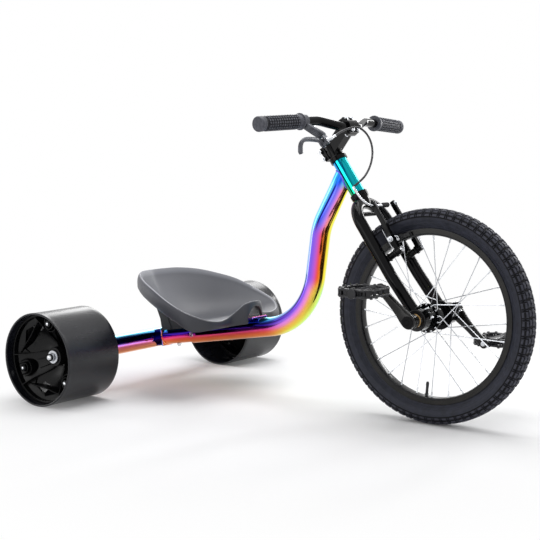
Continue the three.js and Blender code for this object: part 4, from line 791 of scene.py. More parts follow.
def seat_section(rim):
    """The section at one place of the rim: the bowl, the fat rolled lip, the skirt and the underside."""
    foot = skirt_foot(rim)
    ahead = (rim.x - SEAT_BACK) / SEAT_LENGTH
    roll = 1 - smooth_share(ahead, 0.35, 0.85)
    inner, outer, fall = 0.984 - 0.075 * roll, 1.01 - 0.028 * roll, 4 + 25 * roll
    bowl = [(reach * inner / 0.984, SEAT_FLOOR + (rim.z - SEAT_FLOOR) * rise) for reach, rise in BOWL_SHARES]
    lip = []
    for k in range(9):
        angle = math.pi / 2 * (k / 8)
        lip.append((inner + (outer - inner) * math.sin(angle), rim.z - fall * (1 - math.cos(angle)) - 0.4))
    top = lip[-1][1]
    low = min(foot, top - 4)
    drop = low - top
    skirt = [(outer + side, height) for side, height in (
        (0.002, top + drop * 0.35), (-0.004, top + drop * 0.7), (-0.016, low + 1.2), (-0.022, low),
        (-0.034, low), (-0.038, low + 1.2), (-0.034, (top + low) / 2), (-0.04, top - 3))]
    below = [(reach, height - SEAT_WALL) for reach, height in reversed(bowl[:-2])]
    return bowl, lip, skirt, below


def seat():
    shape = Shape()
    rings = []
    line = seat_rim(8)
    # The hollow follows the rim evened out, so that the corners of the rim leave no crease in it
    near = range(-16, 17)
    even = [sum((line[(i + k) % len(line)] for k in near), Vector()) / len(near) for i in range(len(line))]
    for rim, calm in zip(line, even):
        parts, evened = seat_section(rim), seat_section(calm)
        counts = [len(part) for part in parts]
        ring = []
        for kind, (part, other) in enumerate(zip(parts, evened)):
            for (share, height), (reach, level) in zip(part, other):
                keep = smooth_share(share, 0.55, 0.97) if kind in (0, 3) else 1
                place = calm.lerp(rim, keep)
                share = reach + (share - reach) * keep
                ring.append(Vector((SEAT_CENTRE + (place.x - SEAT_CENTRE) * share, place.y * share,
                                    level + (height - level) * keep)))
        rings.append(ring)
    size = sum(counts)
    for ring in rings:
        shape.points.extend(ring)
    shape.points.append(Vector((SEAT_CENTRE, 0, SEAT_FLOOR)))
    shape.points.append(Vector((SEAT_CENTRE, 0, SEAT_FLOOR - SEAT_WALL)))
    top, bottom, total = len(shape.points) - 2, len(shape.points) - 1, len(rings)
    for i in range(total):
        here, there = i * size, (i + 1) % total * size
        shape.skin = 0
        shape.face((top, here, there))
        for k in range(size - 1):
            shape.skin = 0 if k < counts[0] + 1 else 1
            shape.face((here + k, here + k + 1, there + k + 1, there + k))
        shape.face((bottom, there + size - 1, here + size - 1))
    # Painted highlights: a pale line along the crest of the lip, and a soft pale patch on the middle of the
    # back
    gleam = Vector((SEAT_BACK + 40, 10, 125))
    painted_highlight = []
    for k, p in enumerate(shape.points):
        spot = k % size
        if k < size * total and spot in (counts[0], counts[0] + 1):
            painted_highlight.append(1.0)
        else:
            painted_highlight.append(0.34 * math.exp(-((p - gleam).length / 70) ** 2) if spot < counts[0] else 0.0)
    shape.marks["painted_highlight"] = painted_highlight
    piece(shape, "seat_shell", "frame", [seat_inside, seat_skirt], ["seat"], crease=60)
    # The moulded pedestal under the back, its top edge inside the shell
    floor = Shape()
    half_width = 30
    lower = [(128, 19), (55, 19)]
    upper = []
    knots = [(0, 0), (0.4, 0.01), (0.6, 0.08), (0.75, 0.25), (0.85, 0.5), (0.93, 0.8), (0.98, 0.97), (1, 1)]
    for n in range(11):
        share = 0.8 - 0.05 * n
        i = next(k for k, (reach, _) in enumerate(knots) if reach >= share)
        (low, start), (high, end) = knots[i - 1], knots[i]
        rise = start + (end - start) * (share - low) / (high - low)
        upper.append((SEAT_CENTRE - (SEAT_CENTRE - SEAT_BACK) * share * 0.92,
                      SEAT_FLOOR + (RIM_LOW + SEAT_RISE - SEAT_FLOOR) * rise - SEAT_WALL / 2))
    floor.prism(rounded(lower + upper, 3, 3), -half_width, half_width)
    for y in (-18, -6, 6, 18):
        floor.prism([(62, 20), (52, 20), (47, 40), (36, 80), (44, 84), (62, 60)], y - 1.6, y + 1.6)
    for side in (-1, 1):
        low, high = sorted((side * 29.4, side * 31.4))
        floor.prism(rounded([(52, 19), (131, 19), (131, 23), (52, 23)], 1.5, 2), low, high)
        floor.prism([(88, 20), (92, 20), (80, 62), (76, 60)], low, high)
    piece(floor, "seat_pedestal", "frame", pedestal_plastic, bevel=1.2)


def seat_finish(name, tones, low, high):
    """Grained polypropylene with painted light: its tone lifts with height, as if lit from above, and turns
    pale grey where the painted highlight is marked.
    """
    material = finish(name, tones, 90, 1.1, 0.07, (0.4, 0.52), IOR=1.49)
    tree, shader = material.node_tree, shader_of(material)
    # Painted light: lighter higher up
    height = node(tree, "SeparateXYZ", inputs={"Vector": object_place(tree)}).outputs["Z"]
    tone = ramp(tree, ranged(tree, height, 0.036, 0.17), [(0.0, low), (1.0, high)])
    lifted = mixed(tree, 0.6, shader.inputs["Base Color"].links[0].from_socket, tone)
    # Painted highlight: pale grey where marked
    gleam = ranged(tree, mark_of(tree, "painted_highlight"), 0.0, 1.0, 0.0, 0.9)
    highlighted = mixed(tree, gleam, lifted, linear("#a6a7ae"))
    tree.links.new(highlighted, shader.inputs["Base Color"])
    return material


# Inside of the bowl: mid grey, the lit copy of the seat's plastic, lighter up the back as painted light
seat_inside = seat_finish("lit_grey_polypropylene_bowl", ("#54555b", "#606167"), "#505157", "#707177")
# Skirt and underside: the same plastic, darker as painted shade on the outside and beneath
seat_skirt = seat_finish("shaded_dark_polypropylene_skirt", ("#30313a", "#3a3b43"), "#26272c", "#50515a")
# Pedestal: the same plastic, near black as painted shade under the seat
pedestal_plastic = seat_finish("shaded_polypropylene_pedestal", ("#17181b", "#1f2024"), "#141518", "#24252a")


# Fork and its clamps

LEG_PLACE, CROWN_PLACE, LEG_RADIUS = 60, 323, 14.5
PIVOT_ACROSS, PIVOT_HEIGHT = 47, 164


def brake_pivot(side):
    """The frame of a brake arm's pivot, its Y axis pointing forward."""
    return Matrix.Translation((0, side * PIVOT_ACROSS, PIVOT_HEIGHT)) @ AHEAD


def fork():
    legs = [(6.5, LEG_PLACE, 15), (0, LEG_PLACE, 120), (0, LEG_PLACE, CROWN_PLACE)]
    corners = [mirrored(p) for p in legs] + [Vector(p) for p in reversed(legs)]
    path = stations(bent(corners, [200, 56, 56, 200], 3), 14)
    arch = Shape().tube(path, LEG_RADIUS, 64)
    piece(arch, "fork_arch", "steering", gloss_enamel, ["fork"])
    steerer = Shape().turned([
        (14.2, CROWN_PLACE - 8), (17.4, CROWN_PLACE), (17.4, 331), (20.4, 336), (21.2, 337.4), (21.2, 339.6),
        (20, 340.2), (14, 340.2), (14, 345), (12.7, 345.6), (12.7, 490), (11, 490),
    ], 64, place=UPRIGHT)
    piece(steerer, "fork_crown_race", "steering", gloss_enamel)
    at_bridge = Matrix.Translation((0, 0, 292))
    bridge = Shape().turned([(5.5, -50), (5.5, 50)], 32, place=at_bridge)
    for side in (-1, 1):
        bridge.turned([(5.5, side * 45.4), (6.4, side * 45.9), (6.9, side * 46.6), (5.6, side * 48)], 32,
                      wrap=True, place=at_bridge)
    piece(bridge, "fork_brake_bridge", "steering", gloss_enamel)
    for side, hand in ((-1, "right"), (1, "left")):
        clamp = Shape()
        low, high = sorted((side * 54, side * 80))
        at_hub = Matrix.Translation((10, 0, 0))
        hoop = [(21.3, low + 0.8), (22, low), (24.7, low), (25.5, low + 0.8), (25.5, high - 0.8),
                (24.7, high), (22, high), (21.3, high - 0.8)]
        clamp.turned(hoop, 72, wrap=True, place=at_hub)
        for lift in (-1, 1):
            ear = [(33, lift * 1), (49, lift * 1), (49.5, lift * 8.4), (48, lift * 9), (33, lift * 9)]
            clamp.prism(rounded(ear, 1.5, 3), low + 2, high - 2)
        piece(clamp, f"hub_clamp_{hand}", "steering", gloss_enamel, bevel=0.6)
        collar = Shape()
        collar.turned([(14.4, 0), (16.4, 0.5), (16.9, 1.8), (16.4, 3), (14.4, 3.6)], 48, wrap=True,
                      place=Matrix.Translation((7.1, side * LEG_PLACE, 24)) @ UPRIGHT)
        piece(collar, f"foot_weld_{hand}", "steering", gloss_enamel)
        boss = Shape()
        at_pivot = brake_pivot(side)
        boss.turned([(8, 2), (8, 30.8), (7.2, 31.9), (5, 31.9), (5, 51.6), (3.3, 51.6)], 40, place=at_pivot)
        boss.turned([(8, 13), (9.8, 13.8), (10.2, 14.6), (9.6, 15.6), (8, 16.4)], 40, wrap=True,
                    place=at_pivot)
        piece(boss, f"brake_boss_{hand}", "steering", gloss_enamel)
        pinch = Shape()
        screw(pinch, (42, side * 67, 12.4), (42, side * 67, -11), 3, 6, 4)
        nut(pinch, (42, side * 67, -9), (42, side * 67, -14.5), 5.6)
        piece(pinch, f"clamp_screw_{hand}", "steering", zinc_plate, bevel=0.3)


# Screws and nuts

def along(start, end):
    """A frame whose Y axis runs from start to end."""
    start, end = Vector(start), Vector(end)
    y_axis = (end - start).normalized()
    x_axis = y_axis.orthogonal().normalized()
    turn = Matrix((x_axis, y_axis, x_axis.cross(y_axis))).transposed().to_4x4()
    return Matrix.Translation(start) @ turn


def hexagon(reach, sides):
    """Angles and reaches of points on a hexagon, so that it can meet a circle."""
    return [(a, reach * math.cos(math.pi / 6) / math.cos(a % (math.pi / 3) - math.pi / 6))
            for a in round_angles(sides)]


def screw(shape, head, tip, radius, head_radius, head_height):
    """A cap screw with a hexagon socket, from the top of its head to its tip."""
    place, sides = along(head, tip), 24
    length = (Vector(tip) - Vector(head)).length
    rings = [[place @ polar(reach, a, depth) for a, reach in hexagon(head_radius * 0.52, sides)]
             for depth in (head_height * 0.6, 0.0)]
    for reach, height in ((head_radius - 0.6, 0.0), (head_radius, 0.6), (head_radius, head_height),
                          (radius, head_height), (radius, length - 0.6), (radius - 0.6, length)):
        rings.append([place @ polar(reach, a, height) for a in round_angles(sides)])
    shape.loft(rings)


def nut(shape, start, end, radius):
    """A hexagon nut between two places, with chamfered corners."""
    length = (Vector(end) - Vector(start)).length
    shape.turned([(radius * 0.9, 0.0), (radius, length * 0.14), (radius, length * 0.86),
                  (radius * 0.9, length)], 6, place=along(start, end))


# Handlebar, grips and stem hardware

BAR_RADIUS = 11.1
RIB_FOOT, RIB_TOP = 14.8, 17.7


def bar_place(y):
    """The middle of the bar at a place across."""
    share = (abs(y) - 100) / 200
    return Vector((57.5 - 22.5 * share, y, 523 + 3 * share))


def handlebar():
    half = [bar_place(300), bar_place(100), Vector((69, 38, 499))]
    corners = [mirrored(p) for p in half] + list(reversed(half))
    path = stations(bent(corners, [60] * 4, 4), 16)
    shape = Shape().tube(path, BAR_RADIUS, 48)
    piece(shape, "handlebar_bent", "steering", gloss_enamel, ["handlebar"])


def raised(shape, corners, shrink, steps=1):
    """A block standing on a grip. Corners are pairs of angle in degrees and place along."""
    corners = [(math.radians(angle), y) for angle, y in corners]
    outline = []
    for (angle, y), (next_angle, next_y) in zip(corners, corners[1:] + corners[:1]):
        for k in range(steps):
            t = k / steps
            outline.append((angle + (next_angle - angle) * t, y + (next_y - y) * t))
    middle_angle = sum(a for a, _ in outline) / len(outline)
    middle_y = sum(y for _, y in outline) / len(outline)
    rings = []
    for radius, inset in ((RIB_FOOT, 0.0), (RIB_TOP, shrink)):
        rings.append([polar(radius, a + (middle_angle - a) * inset, y + (middle_y - y) * inset)
                      for a, y in outline])
    shape.loft(rings)


def grip(side, hand):
    start, end = bar_place(side * 160), bar_place(side * 300)
    length = (end - start).length
    outward = (end - start).normalized()
    up = Vector((0, 0, 1))
    up = (up - outward * up.dot(outward)).normalized()
    ahead = outward.cross(up) * side
    place = STEERING @ Matrix.Translation(start * MM) @ Matrix((ahead, outward, up)).transposed().to_4x4()
    shape = Shape().turned([(11.4, 0), (19.2, 0), (20, 0.8), (20, 2.4), (19, 3.3), (17.2, 3.8), (16.9, 5),
                            (16.9, 17), (15.3, 17.8), (15.3, length - 13), (16.9, length - 12.2),
                            (17.3, length - 9), (16.6, length - 8), (16.6, length - 6.8), (17.4, length - 6),
                            (17.8, length - 2), (17.6, length + 1.2), (16.8, length + 3),
                            (14.6, length + 3.6), (14.2, length + 3.2), (13.6, length + 3.2),
                            (13.2, length + 3.9), (11.6, length + 4)], 72)
    # Faces at the foot of the grooves take the darker rubber: painted shade
    groove = [17 < p.y < length - 12 and p.xz.length < 15.6 for p in shape.points]
    shape.skins = [int(all(groove[c] for c in face)) for face in shape.faces]
    # Slanting ribs over the top, and rows of studs below them; angle 90 is the top and 0 the front
    count = 11
    for k in range(count):
        y = 19 + (length - 44) * k / (count - 1)
        raised(shape, [(158, y + 3), (158, y + 7.2), (52, y + 15), (52, y + 10.8)], 0.1, 5)
    studs = 13
    for k in range(studs):
        y = 19.5 + (length - 37) * k / studs
        for angle in (36, 14, -8, -30, -52, -74, -96, -118, 174, 196, 218):
            low, high = angle - 7.5, angle + 7.5
            raised(shape, [(low, y), (low, y + 4.8), (high, y + 4.8), (high, y)], 0.12)
    # A plain pattern of bars, standing a little out of the smooth end cap
    for k in range(-3, 4):
        reach = math.sqrt(10.6 ** 2 - (3 * k) ** 2)
        shape.box((2 * reach, 1.1, 1.5), (0, length + 3.8, 3 * k))
    piece(shape, f"grip_moulded_{hand}", "steering", [grip_rubber, grip_groove],
          [f"grip_{hand}"], place, crease=30)


def stem_hardware():
    screws = Shape()
    for height in (470, 490):
        nut(screws, (-26.4, -19.5, height), (-26.4, -13, height), 6.2)
        screw(screws, (-26.4, 17, height), (-26.4, -22.5, height), 2.9, 5.2, 4.6)
    piece(screws, "stem_pinch_screws", "steering", zinc_plate, bevel=0.25)
    front = Shape()
    for height in (482.2, 515.8):
        for y in (-11, 11):
            screw(front, (83.6, y, height), (63.4, y, height), 2.6, 4.6, 4.6)
            nut(front, (60.6, y, height), (56.4, y, height), 5.2)
    piece(front, "faceplate_screws", "steering", zinc_plate, bevel=0.25)
    cap = Shape().turned([(12.6, 503.6), (12.2, 505.2), (10.6, 505.4), (10.2, 504.6), (3.6, 504.2),
                          (3.2, 505.8), (1.2, 505.8)], 48, place=UPRIGHT)
    piece(cap, "stem_top_cap", "steering", moulded_nylon)


# Brake lever, cable and rim brake

LEVER_PIVOT = (62, -130, 456)
# Pads: how far ahead of the steering axis they lie, the radius they press on and half their length
PAD_AHEAD, TRACK_RADIUS, PAD_REACH = 45, 199.5, 35


def lever_perch():
    start, end = bar_place(-157), bar_place(-143)
    hoop = Shape().turned([(11.3, 0.6), (12, 0), (15.2, 0), (16, 0.8), (16, 13.4), (15.2, 14.2), (12, 14.2),
                           (11.3, 13.6)], 56, wrap=True, place=along(start, end))
    piece(hoop, "lever_clamp_band", "steering", lever_alloy, ["lever_perch"])
    arm = Shape()
    # The arm: a flat bridge that widens into the fork which holds the lever
    top = bar_place(-150) + Vector((0, 0, -9))
    sections = [(top, 9.5, 7.4), (top + Vector((2, 4, -9)), 9.6, 8.4), (Vector((59, -139, 491)), 10, 8.8),
                (Vector((61, -133, 484)), 10.6, 9), (Vector((62, -128, 478)), 10.9, 7.6),
                (Vector((62, -126, 473.4)), 11, 6)]
    arm.loft([[place + Vector((reach * c, deep * s, 0)) for c, s in squared_round(24, 0.5, 0.5)]
              for place, reach, deep in sections])
    piece(arm, "lever_perch_arm", "steering", lever_alloy, crease=50)
    cheeks = Shape()
    for side in (-1, 1):
        low, high = sorted((62 + side * 4.5, 62 + side * 9.8))
        outline = rounded([(-138.5, 472), (-121.5, 472), (-119.5, 462), (-122, 449.6), (-131, 447.6),
                           (-138.5, 452)], 5, 4)
        cheeks.loft([[Vector((x, y, z)) for y, z in outline] for x in (low, high)])
    piece(cheeks, "lever_perch_cheeks", "steering", lever_alloy, bevel=0.8)
    pin = Shape()
    screw(pin, (73.6, -130, 456), (51.4, -130, 456), 2.5, 4.2, 2.6)
    screw(pin, (45.5, -139.5, 503), (66, -136.5, 500), 2.4, 4, 4)
    piece(pin, "lever_pivot_screw", "steering", zinc_plate, bevel=0.2)
    barrel = Shape().turned([(3.4, 0), (4.4, 0.4), (4.4, 3), (5, 3.6), (5, 11), (4.4, 11.8), (4.4, 13),
                             (5, 13.8), (5, 19.6), (4.3, 20.4), (3.3, 23.5)], 32,
                            place=along((72, -136, 457), (80, -114, 460)))
    piece(barrel, "cable_adjuster", "steering", zinc_plate)


def brake_lever():
    # Sections from the root along the blade to its turned down tip: place, width and height
    run = [((0, 4, 1), 3.4, 6), ((0, -3, 3), 3.6, 6.4), ((0, -12, 5.4), 3.8, 5.8), ((0, -22, 7.8), 4.2, 5.5),
           ((0, -36, 9.4), 4.8, 5.2), ((0, -52, 10), 5.2, 4.8), ((0, -66, 9.6), 5.2, 4.7),
           ((-0.8, -75, 8.4), 5.2, 4.7), ((-2.6, -82, 5.8), 5.1, 4.7), ((-5.6, -87, 1.2), 5, 4.6),
           ((-8.8, -89.4, -4), 5, 4.6), ((-11.8, -90.6, -9.6), 5, 4.7), ((-14.2, -91, -14.4), 5.2, 4.9),
           ((-16.2, -89.4, -18.6), 4.2, 4.2)]
    places = flowing([p for p, _, _ in run], 4)
    sizes = flowing([(w, h, 0) for _, w, h in run], 4)
    shape = Shape()
    rings = []
    for i, place in enumerate(places):
        heading = way_at(places, i)
        side = (Vector((1, 0, 0)) - heading * heading.x).normalized()
        over = heading.cross(side)
        rings.append([Vector(LEVER_PIVOT) + place + side * sizes[i].x * c + over * sizes[i].y * s
                      for c, s in squared_round(24, 0.6, 0.6)])
    shape.loft(rings)
    shape.turned([(3.2, -4), (6.6, -4), (7, -3.4), (7, 3.4), (6.6, 4), (3.2, 4)], 32, wrap=True,
                 place=Matrix.Translation(LEVER_PIVOT) @ AHEAD)
    piece(shape, "brake_lever_forged", "lever", lever_alloy, ["brake_lever"], crease=50)


# Forged aluminium of the lever and its perch, shot blasted and lacquered: mid grey, softly metallic
lever_alloy = finish("shot_blasted_lacquered_aluminium", ("#46474d", "#56585e"), 10, 0.6, 0.02, (0.36, 0.46),
                     Metallic=0.6, Coat_Weight=0.15, Coat_Roughness=0.3)

CABLE_POINTS = [
    (80.4, -112.9, 460.2), (90, -86, 468), (99, -55, 472), (106, -30, 469), (108, -15, 452), (105, -11, 428),
    (98, -18, 402), (87, -37, 375), (72, -61, 354), (55, -79, 345), (45.6, -86.2, 342), (44.95, -86.5, 334.9),
]


def brake_cable():
    path = centripetal(CABLE_POINTS, 10)
    shape = Shape().tube(path, 2.5, 24)
    housing = piece(shape, "brake_cable_housing", None, extruded_pvc, ["brake_cable"],
                    STEERING)
    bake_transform(housing)
    for name, body, start, end in (("upper", "steering", path[0], path[4]),
                                   ("lower", "right_brake_arm", path[-1], path[-4])):
        ferrule = Shape().turned([(2.4, -0.6), (3.1, -0.3), (3.1, 7), (2.9, 7.6), (2.5, 7.8)], 24,
                                 place=along(start, end))
        piece(ferrule, f"cable_ferrule_{name}", body, zinc_plate)


def noodle_and_boot():
    path = stations(bent([(45, -86, 334), (45.5, -81, 289), (45, 2, 288)], [38], 4), 5)
    pipe = Shape().tube(path, 2.6, 24)
    pipe.turned([(2.7, -0.6), (3.6, 0), (3.6, 5.6), (3.2, 6.6), (2.6, 7.2)], 24,
                place=along(path[0], path[1]))
    pipe.turned([(2.6, -2), (3.2, -1.6), (3.2, 4.6), (2.6, 5.2)], 24,
                place=Matrix.Translation((45, -41, 288.4)))
    piece(pipe, "brake_noodle_bent", "right_brake_arm", zinc_plate, ["brake_noodle"])
    cradle = Shape().prism(rounded([(39, 280), (51, 280), (51, 296.5), (48.4, 297), (48.2, 289), (41.8, 289),
                                    (41.6, 297), (39, 296.5)], 1, 2), -44, -38)
    piece(cradle, "noodle_cradle", "right_brake_arm", tumbled_alloy, bevel=0.4)
    ribs = [(3, -6)]
    pitch = 23 / 6
    for k in range(6):
        y = -6 + pitch * k
        ribs += [(4.2, y + 0.2), (4.4, y + 0.8), (6, y + 1.5), (6, y + 2.3), (4.4, y + 3)]
    ribs += [(3.6, 17.4), (1.8, 19), (1.1, 20)]
    boot = Shape().turned(ribs, 32, place=Matrix.Translation((45, 0, 288)))
    piece(boot, "brake_boot_ribbed", "left_brake_arm", dull_rubber, ["brake_boot"])
    wire = Shape().tube([(45, 14, 288), (45, 55, 287.6)], 0.9, 12)
    wire.tube([(45, 52, 287.6), (44.6, 57, 285), (44, 60, 279), (43.6, 60.6, 270)], 1.1, 12)
    piece(wire, "inner_cable", "left_brake_arm", zinc_plate)


def brake_arm(side, hand):
    body = f"{hand}_brake_arm"
    outline = [(39.6, 158), (43, 155.6), (51, 155.6), (54.4, 158), (54.6, 168), (54, 190), (54.4, 204),
               (53.4, 214), (50.2, 232), (49.2, 262), (49, 292), (47.6, 296.6), (44, 297.4), (40.4, 296.6),
               (39, 292), (39.4, 262), (40, 232), (40.6, 214), (39.8, 204), (40, 190), (39.4, 168)]
    blade = Shape().loft([[Vector((x, side * y, z)) for y, z in outline] for x in (39.2, 50.8)])
    piece(blade, f"brake_arm_forged_{hand}", body, gloss_enamel, [f"brake_arm_{hand}"],
          bevel=1.6, segments=3)
    place = brake_pivot(side)
    barrel = Shape().turned([(5.4, 32.6), (7.4, 32.6), (8.2, 33.4), (8.2, 50.4), (7.4, 51.4), (5.4, 51.4)],
                            40, wrap=True, place=place)
    barrel.turned([(8.4, 33.6), (10, 34), (10.4, 35), (10.4, 37.6), (10, 38.4), (8.4, 38.8)], 40, wrap=True,
                  place=place)
    piece(barrel, f"brake_arm_barrel_{hand}", body, moulded_nylon)
    # The return spring, its end tucked against the back of the arm
    spring = Shape()
    coil = []
    for k in range(34):
        turn = polar(7.2, 2 * math.pi * k / 12)
        coil.append((34 + 0.13 * k, side * PIVOT_ACROSS + turn.x, PIVOT_HEIGHT + turn.z))
    coil += [(38, side * 54.6, 172), (38, side * 56.6, 190), (38.2, side * 56.6, 214), (38.2, side * 55, 226)]
    spring.tube(centripetal(coil, 3), 0.75, 8)
    piece(spring, f"return_spring_{hand}", body, drawn_stainless)
    # The pad and its holder, both turned to follow the rim
    height = math.sqrt(TRACK_RADIUS ** 2 - PAD_REACH ** 2)
    along_rim = Matrix.Rotation(math.asin(PAD_REACH / TRACK_RADIUS), 4, "Y")
    centre = Matrix.Translation((PAD_AHEAD, 0, height)) @ along_rim
    bows = []
    for k in range(13):
        x = -PAD_REACH + 2 * PAD_REACH * k / 12
        bows.append((x, (math.sqrt(TRACK_RADIUS ** 2 - x ** 2) - TRACK_RADIUS) * 0.75))
    outline = [(x, bow - 4.4) for x, bow in bows] + [(x, bow + 4.4) for x, bow in reversed(bows)]
    pad = Shape().prism(outline, side * 14.9, side * 19, centre)
    for k in range(6):
        pad.box((2.4, 2.6, 8.4), turn=centre @ Matrix.Translation((-28 + 11 * k, side * 18.2, -1.6)))
    piece(pad, f"brake_pad_moulded_{hand}", body, dull_rubber, [f"brake_pad_{hand}"],
          bevel=0.7)
    holder = Shape().prism([(x * 0.93, z * 0.86) for x, z in outline], side * 19, side * 22.8, centre)
    piece(holder, f"pad_holder_{hand}", body, dull_rubber, bevel=0.8)

    def at(y):
        """A place on the axis of the pad's post."""
        return Vector((PAD_AHEAD, side * y, height))

    low, high = at(20), at(66.6)
    length = (high - low).length
    post = Shape().turned([(3, 0), (3, length - 0.7), (2.3, length)], 24, place=along(low, high))
    # Washers and spacers along the post
    for start, end, reach in ((26, 30.6, 7), (31, 34.8, 6.2), (35, 38.8, 7), (54.8, 57.2, 7)):
        wide = end - start
        post.turned([(3.1, 0), (reach - 0.8, 0), (reach, 0.8), (reach, wide - 0.6), (reach - 0.6, wide),
                     (3.1, wide)], 32, place=along(at(start), at(end)))
    nut(post, at(57.4), at(62.4), 6)
    piece(post, f"pad_post_{hand}", body, zinc_plate, bevel=0.3)
    if side > 0:
        anchor = Shape()
        screw(anchor, (56.2, 44.4, 287.6), (38.4, 44.4, 287.6), 2.6, 4.4, 4)
        anchor.box((1.4, 11, 8.6), (51.6, 44.6, 287.4))
        piece(anchor, "cable_anchor_bolt", body, zinc_plate, bevel=0.4)


# Front wheel

TYRE_PROFILE = [(207.2, 11.2), (210.4, 12.6), (213.6, 15.4), (217, 18.4), (220.8, 20.8), (226.8, 23.2),
                (232.8, 24.2), (238, 24), (243, 22.2), (247, 18.6), (249.2, 14), (250.4, 8), (250.8, 0)]


def casing_line():
    """The outside of the casing from the crown to the rim, as distance, radius, place along Y and the
    direction that faces outwards."""
    side = flowing([(r, y, 0) for r, y in reversed(TYRE_PROFILE)], 6)
    line, run = [], 0
    for i, here in enumerate(side):
        if i:
            run += (here - side[i - 1]).length
        way = way_at(side, i)
        line.append((run, here.x, here.y, way.y, -way.x))
    return line


def on_casing(line, run, rise):
    """Radius and place along Y of a point at a distance from the crown, standing rise off the casing."""
    side = -1 if run < 0 else 1
    run = abs(run)
    for a, b in zip(line, line[1:]):
        if run <= b[0]:
            t = (run - a[0]) / (b[0] - a[0])
            r, y, out_r, out_y = (a[k] + (b[k] - a[k]) * t for k in (1, 2, 3, 4))
            return r + out_r * rise, side * (y + out_y * rise)
    return line[-1][1], side * line[-1][2]


def tread_block(shape, line, corners, rise, inset=0.7):
    """A block on the casing. Corners are pairs of angle and distance from the crown."""
    middle_angle = sum(a for a, _ in corners) / len(corners)
    middle_run = sum(run for _, run in corners) / len(corners)
    reach = max(abs(run - middle_run) for _, run in corners)
    rings = []
    for height, shrink in ((-1.2, 0.0), (rise - 0.4, inset * 0.6 / reach), (rise, inset / reach + 0.04)):
        ring = []
        for i, (angle, run) in enumerate(corners):
            after_angle, after_run = corners[(i + 1) % len(corners)]
            for t in (0.0, 0.5):
                a = angle + (after_angle - angle) * t
                q = run + (after_run - run) * t
                a += (middle_angle - a) * shrink
                q += (middle_run - q) * shrink
                r, y = on_casing(line, q, height)
                ring.append(polar(r, a, y))
        rings.append(ring)
    shape.loft(rings)


TREAD_COUNT = 76


def tyre():
    side = flowing([(r, y, 0) for r, y in TYRE_PROFILE], 3)
    lines = []
    for p in side:
        swell = 0.0
        # Fine raised lines on the sidewall, round the wheel
        for line, height in ((211.6, 0.9), (216.6, 0.7), (219.4, 0.7), (227.4, 1.1), (229.6, 0.8)):
            swell += height * math.exp(-((p.x - line) / 0.55) ** 2)
        lines.append((p.x, p.y + swell))
    half = lines + [(r, -y) for r, y in reversed(lines[:-1])]
    inner = [(207.3, -10.6), (201.2, -11), (201.2, -7.4), (221, -17.6), (240, -18.6), (246.6, 0), (240, 18.6),
             (221, 17.6), (201.2, 7.4), (201.2, 11), (207.3, 10.6)]
    shape = Shape().turned(half + inner, 160, wrap=True)
    # The casing at the crown, between the tread blocks, takes the near black groove rubber: painted shade
    crown = [p.xz.length > 232 and abs(p.y) < 24.3 for p in shape.points]
    shape.skins = [int(all(crown[c] for c in face)) for face in shape.faces]
    piece(shape, "tyre_casing", "front_wheel", [tyre_rubber, groove_rubber], ["tyre"],
          crease=28)
    tread = Shape()
    line = casing_line()
    pitch = 2 * math.pi / TREAD_COUNT
    for k in range(TREAD_COUNT):
        a = k * pitch
        for side in (-1, 1):
            # Shoulder: a wide block and a narrow one, with a slot on each side of the narrow one
            for start, end in ((0.0, 0.66), (0.78, 0.88)):
                tread_block(tread, line, [(a + start * pitch, side * 32.5), (a + end * pitch, side * 32.5),
                                          (a + end * pitch, side * 17.4), (a + start * pitch, side * 17.4)],
                            1.5, 0.5)
            # Scalloped blocks inside the shoulder
            b = a + (0.5 * pitch if side > 0 else 0)
            tread_block(tread, line, [(b + 0.04 * pitch, side * 16.4), (b + 0.46 * pitch, side * 15),
                                      (b + 0.88 * pitch, side * 16.4), (b + 0.74 * pitch, side * 8.4),
                                      (b + 0.18 * pitch, side * 8.4)], 2.3)
        tread_block(tread, line, [
            (a + 0.1 * pitch, -7), (a + 0.44 * pitch, -2.4), (a + 0.8 * pitch, -7), (a + 0.96 * pitch, 0),
            (a + 0.64 * pitch, 7), (a + 0.38 * pitch, 2.6), (a + 0.0 * pitch, 7),
        ], 2.1)
    piece(tread, "tyre_tread_blocks", "front_wheel", tread_rubber, crease=40)


def rim():
    profile = [(190.5, -8), (190.9, -9.4), (192.2, -12.2), (193, -12.9), (195.4, -13), (196, -13),
               (205.2, -13), (205.8, -13), (206.6, -12.9), (207, -12.2), (206.9, -11.5), (206.2, -11.3),
               (196.4, -11.3), (194.5, -6), (194.5, 6), (196.4, 11.3), (206.2, 11.3), (206.9, 11.5),
               (207, 12.2), (206.6, 12.9), (205.8, 13), (205.2, 13), (196, 13), (195.4, 13), (193, 12.9),
               (192.2, 12.2), (190.9, 9.4), (190.5, 8)]
    shape = Shape().loft([[polar(r, angle, y) for r, y in profile] for angle in round_angles(160)], wrap=True)
    # The brake track is the sixth face of the profile on one side and the twenty-second on the other
    shape.skins = [1 if k % len(profile) in (5, 21) else 0 for k in range(len(shape.faces))]
    piece(shape, "rim_extruded", "front_wheel", [rim_anodised, machined_track], ["rim"],
          crease=24)


SPOKE_COUNT, SPOKE_START, SPOKE_END = 14, 35.7, 188.7


def spoke_ends(side):
    """The two ends of each spoke on a side, as the wheel is laced: every second one the other way round."""
    pitch = 2 * math.pi / SPOKE_COUNT
    shift = 0 if side > 0 else -pitch / 2
    ends = []
    for i in range(SPOKE_COUNT):
        start, turn = pitch * i + shift, pitch * 2 * (1 if i % 2 == 0 else -1)
        end = start + turn
        ends.append((polar(SPOKE_START, start, side * 30), polar(SPOKE_END, end, side * 2.5)))
    return ends


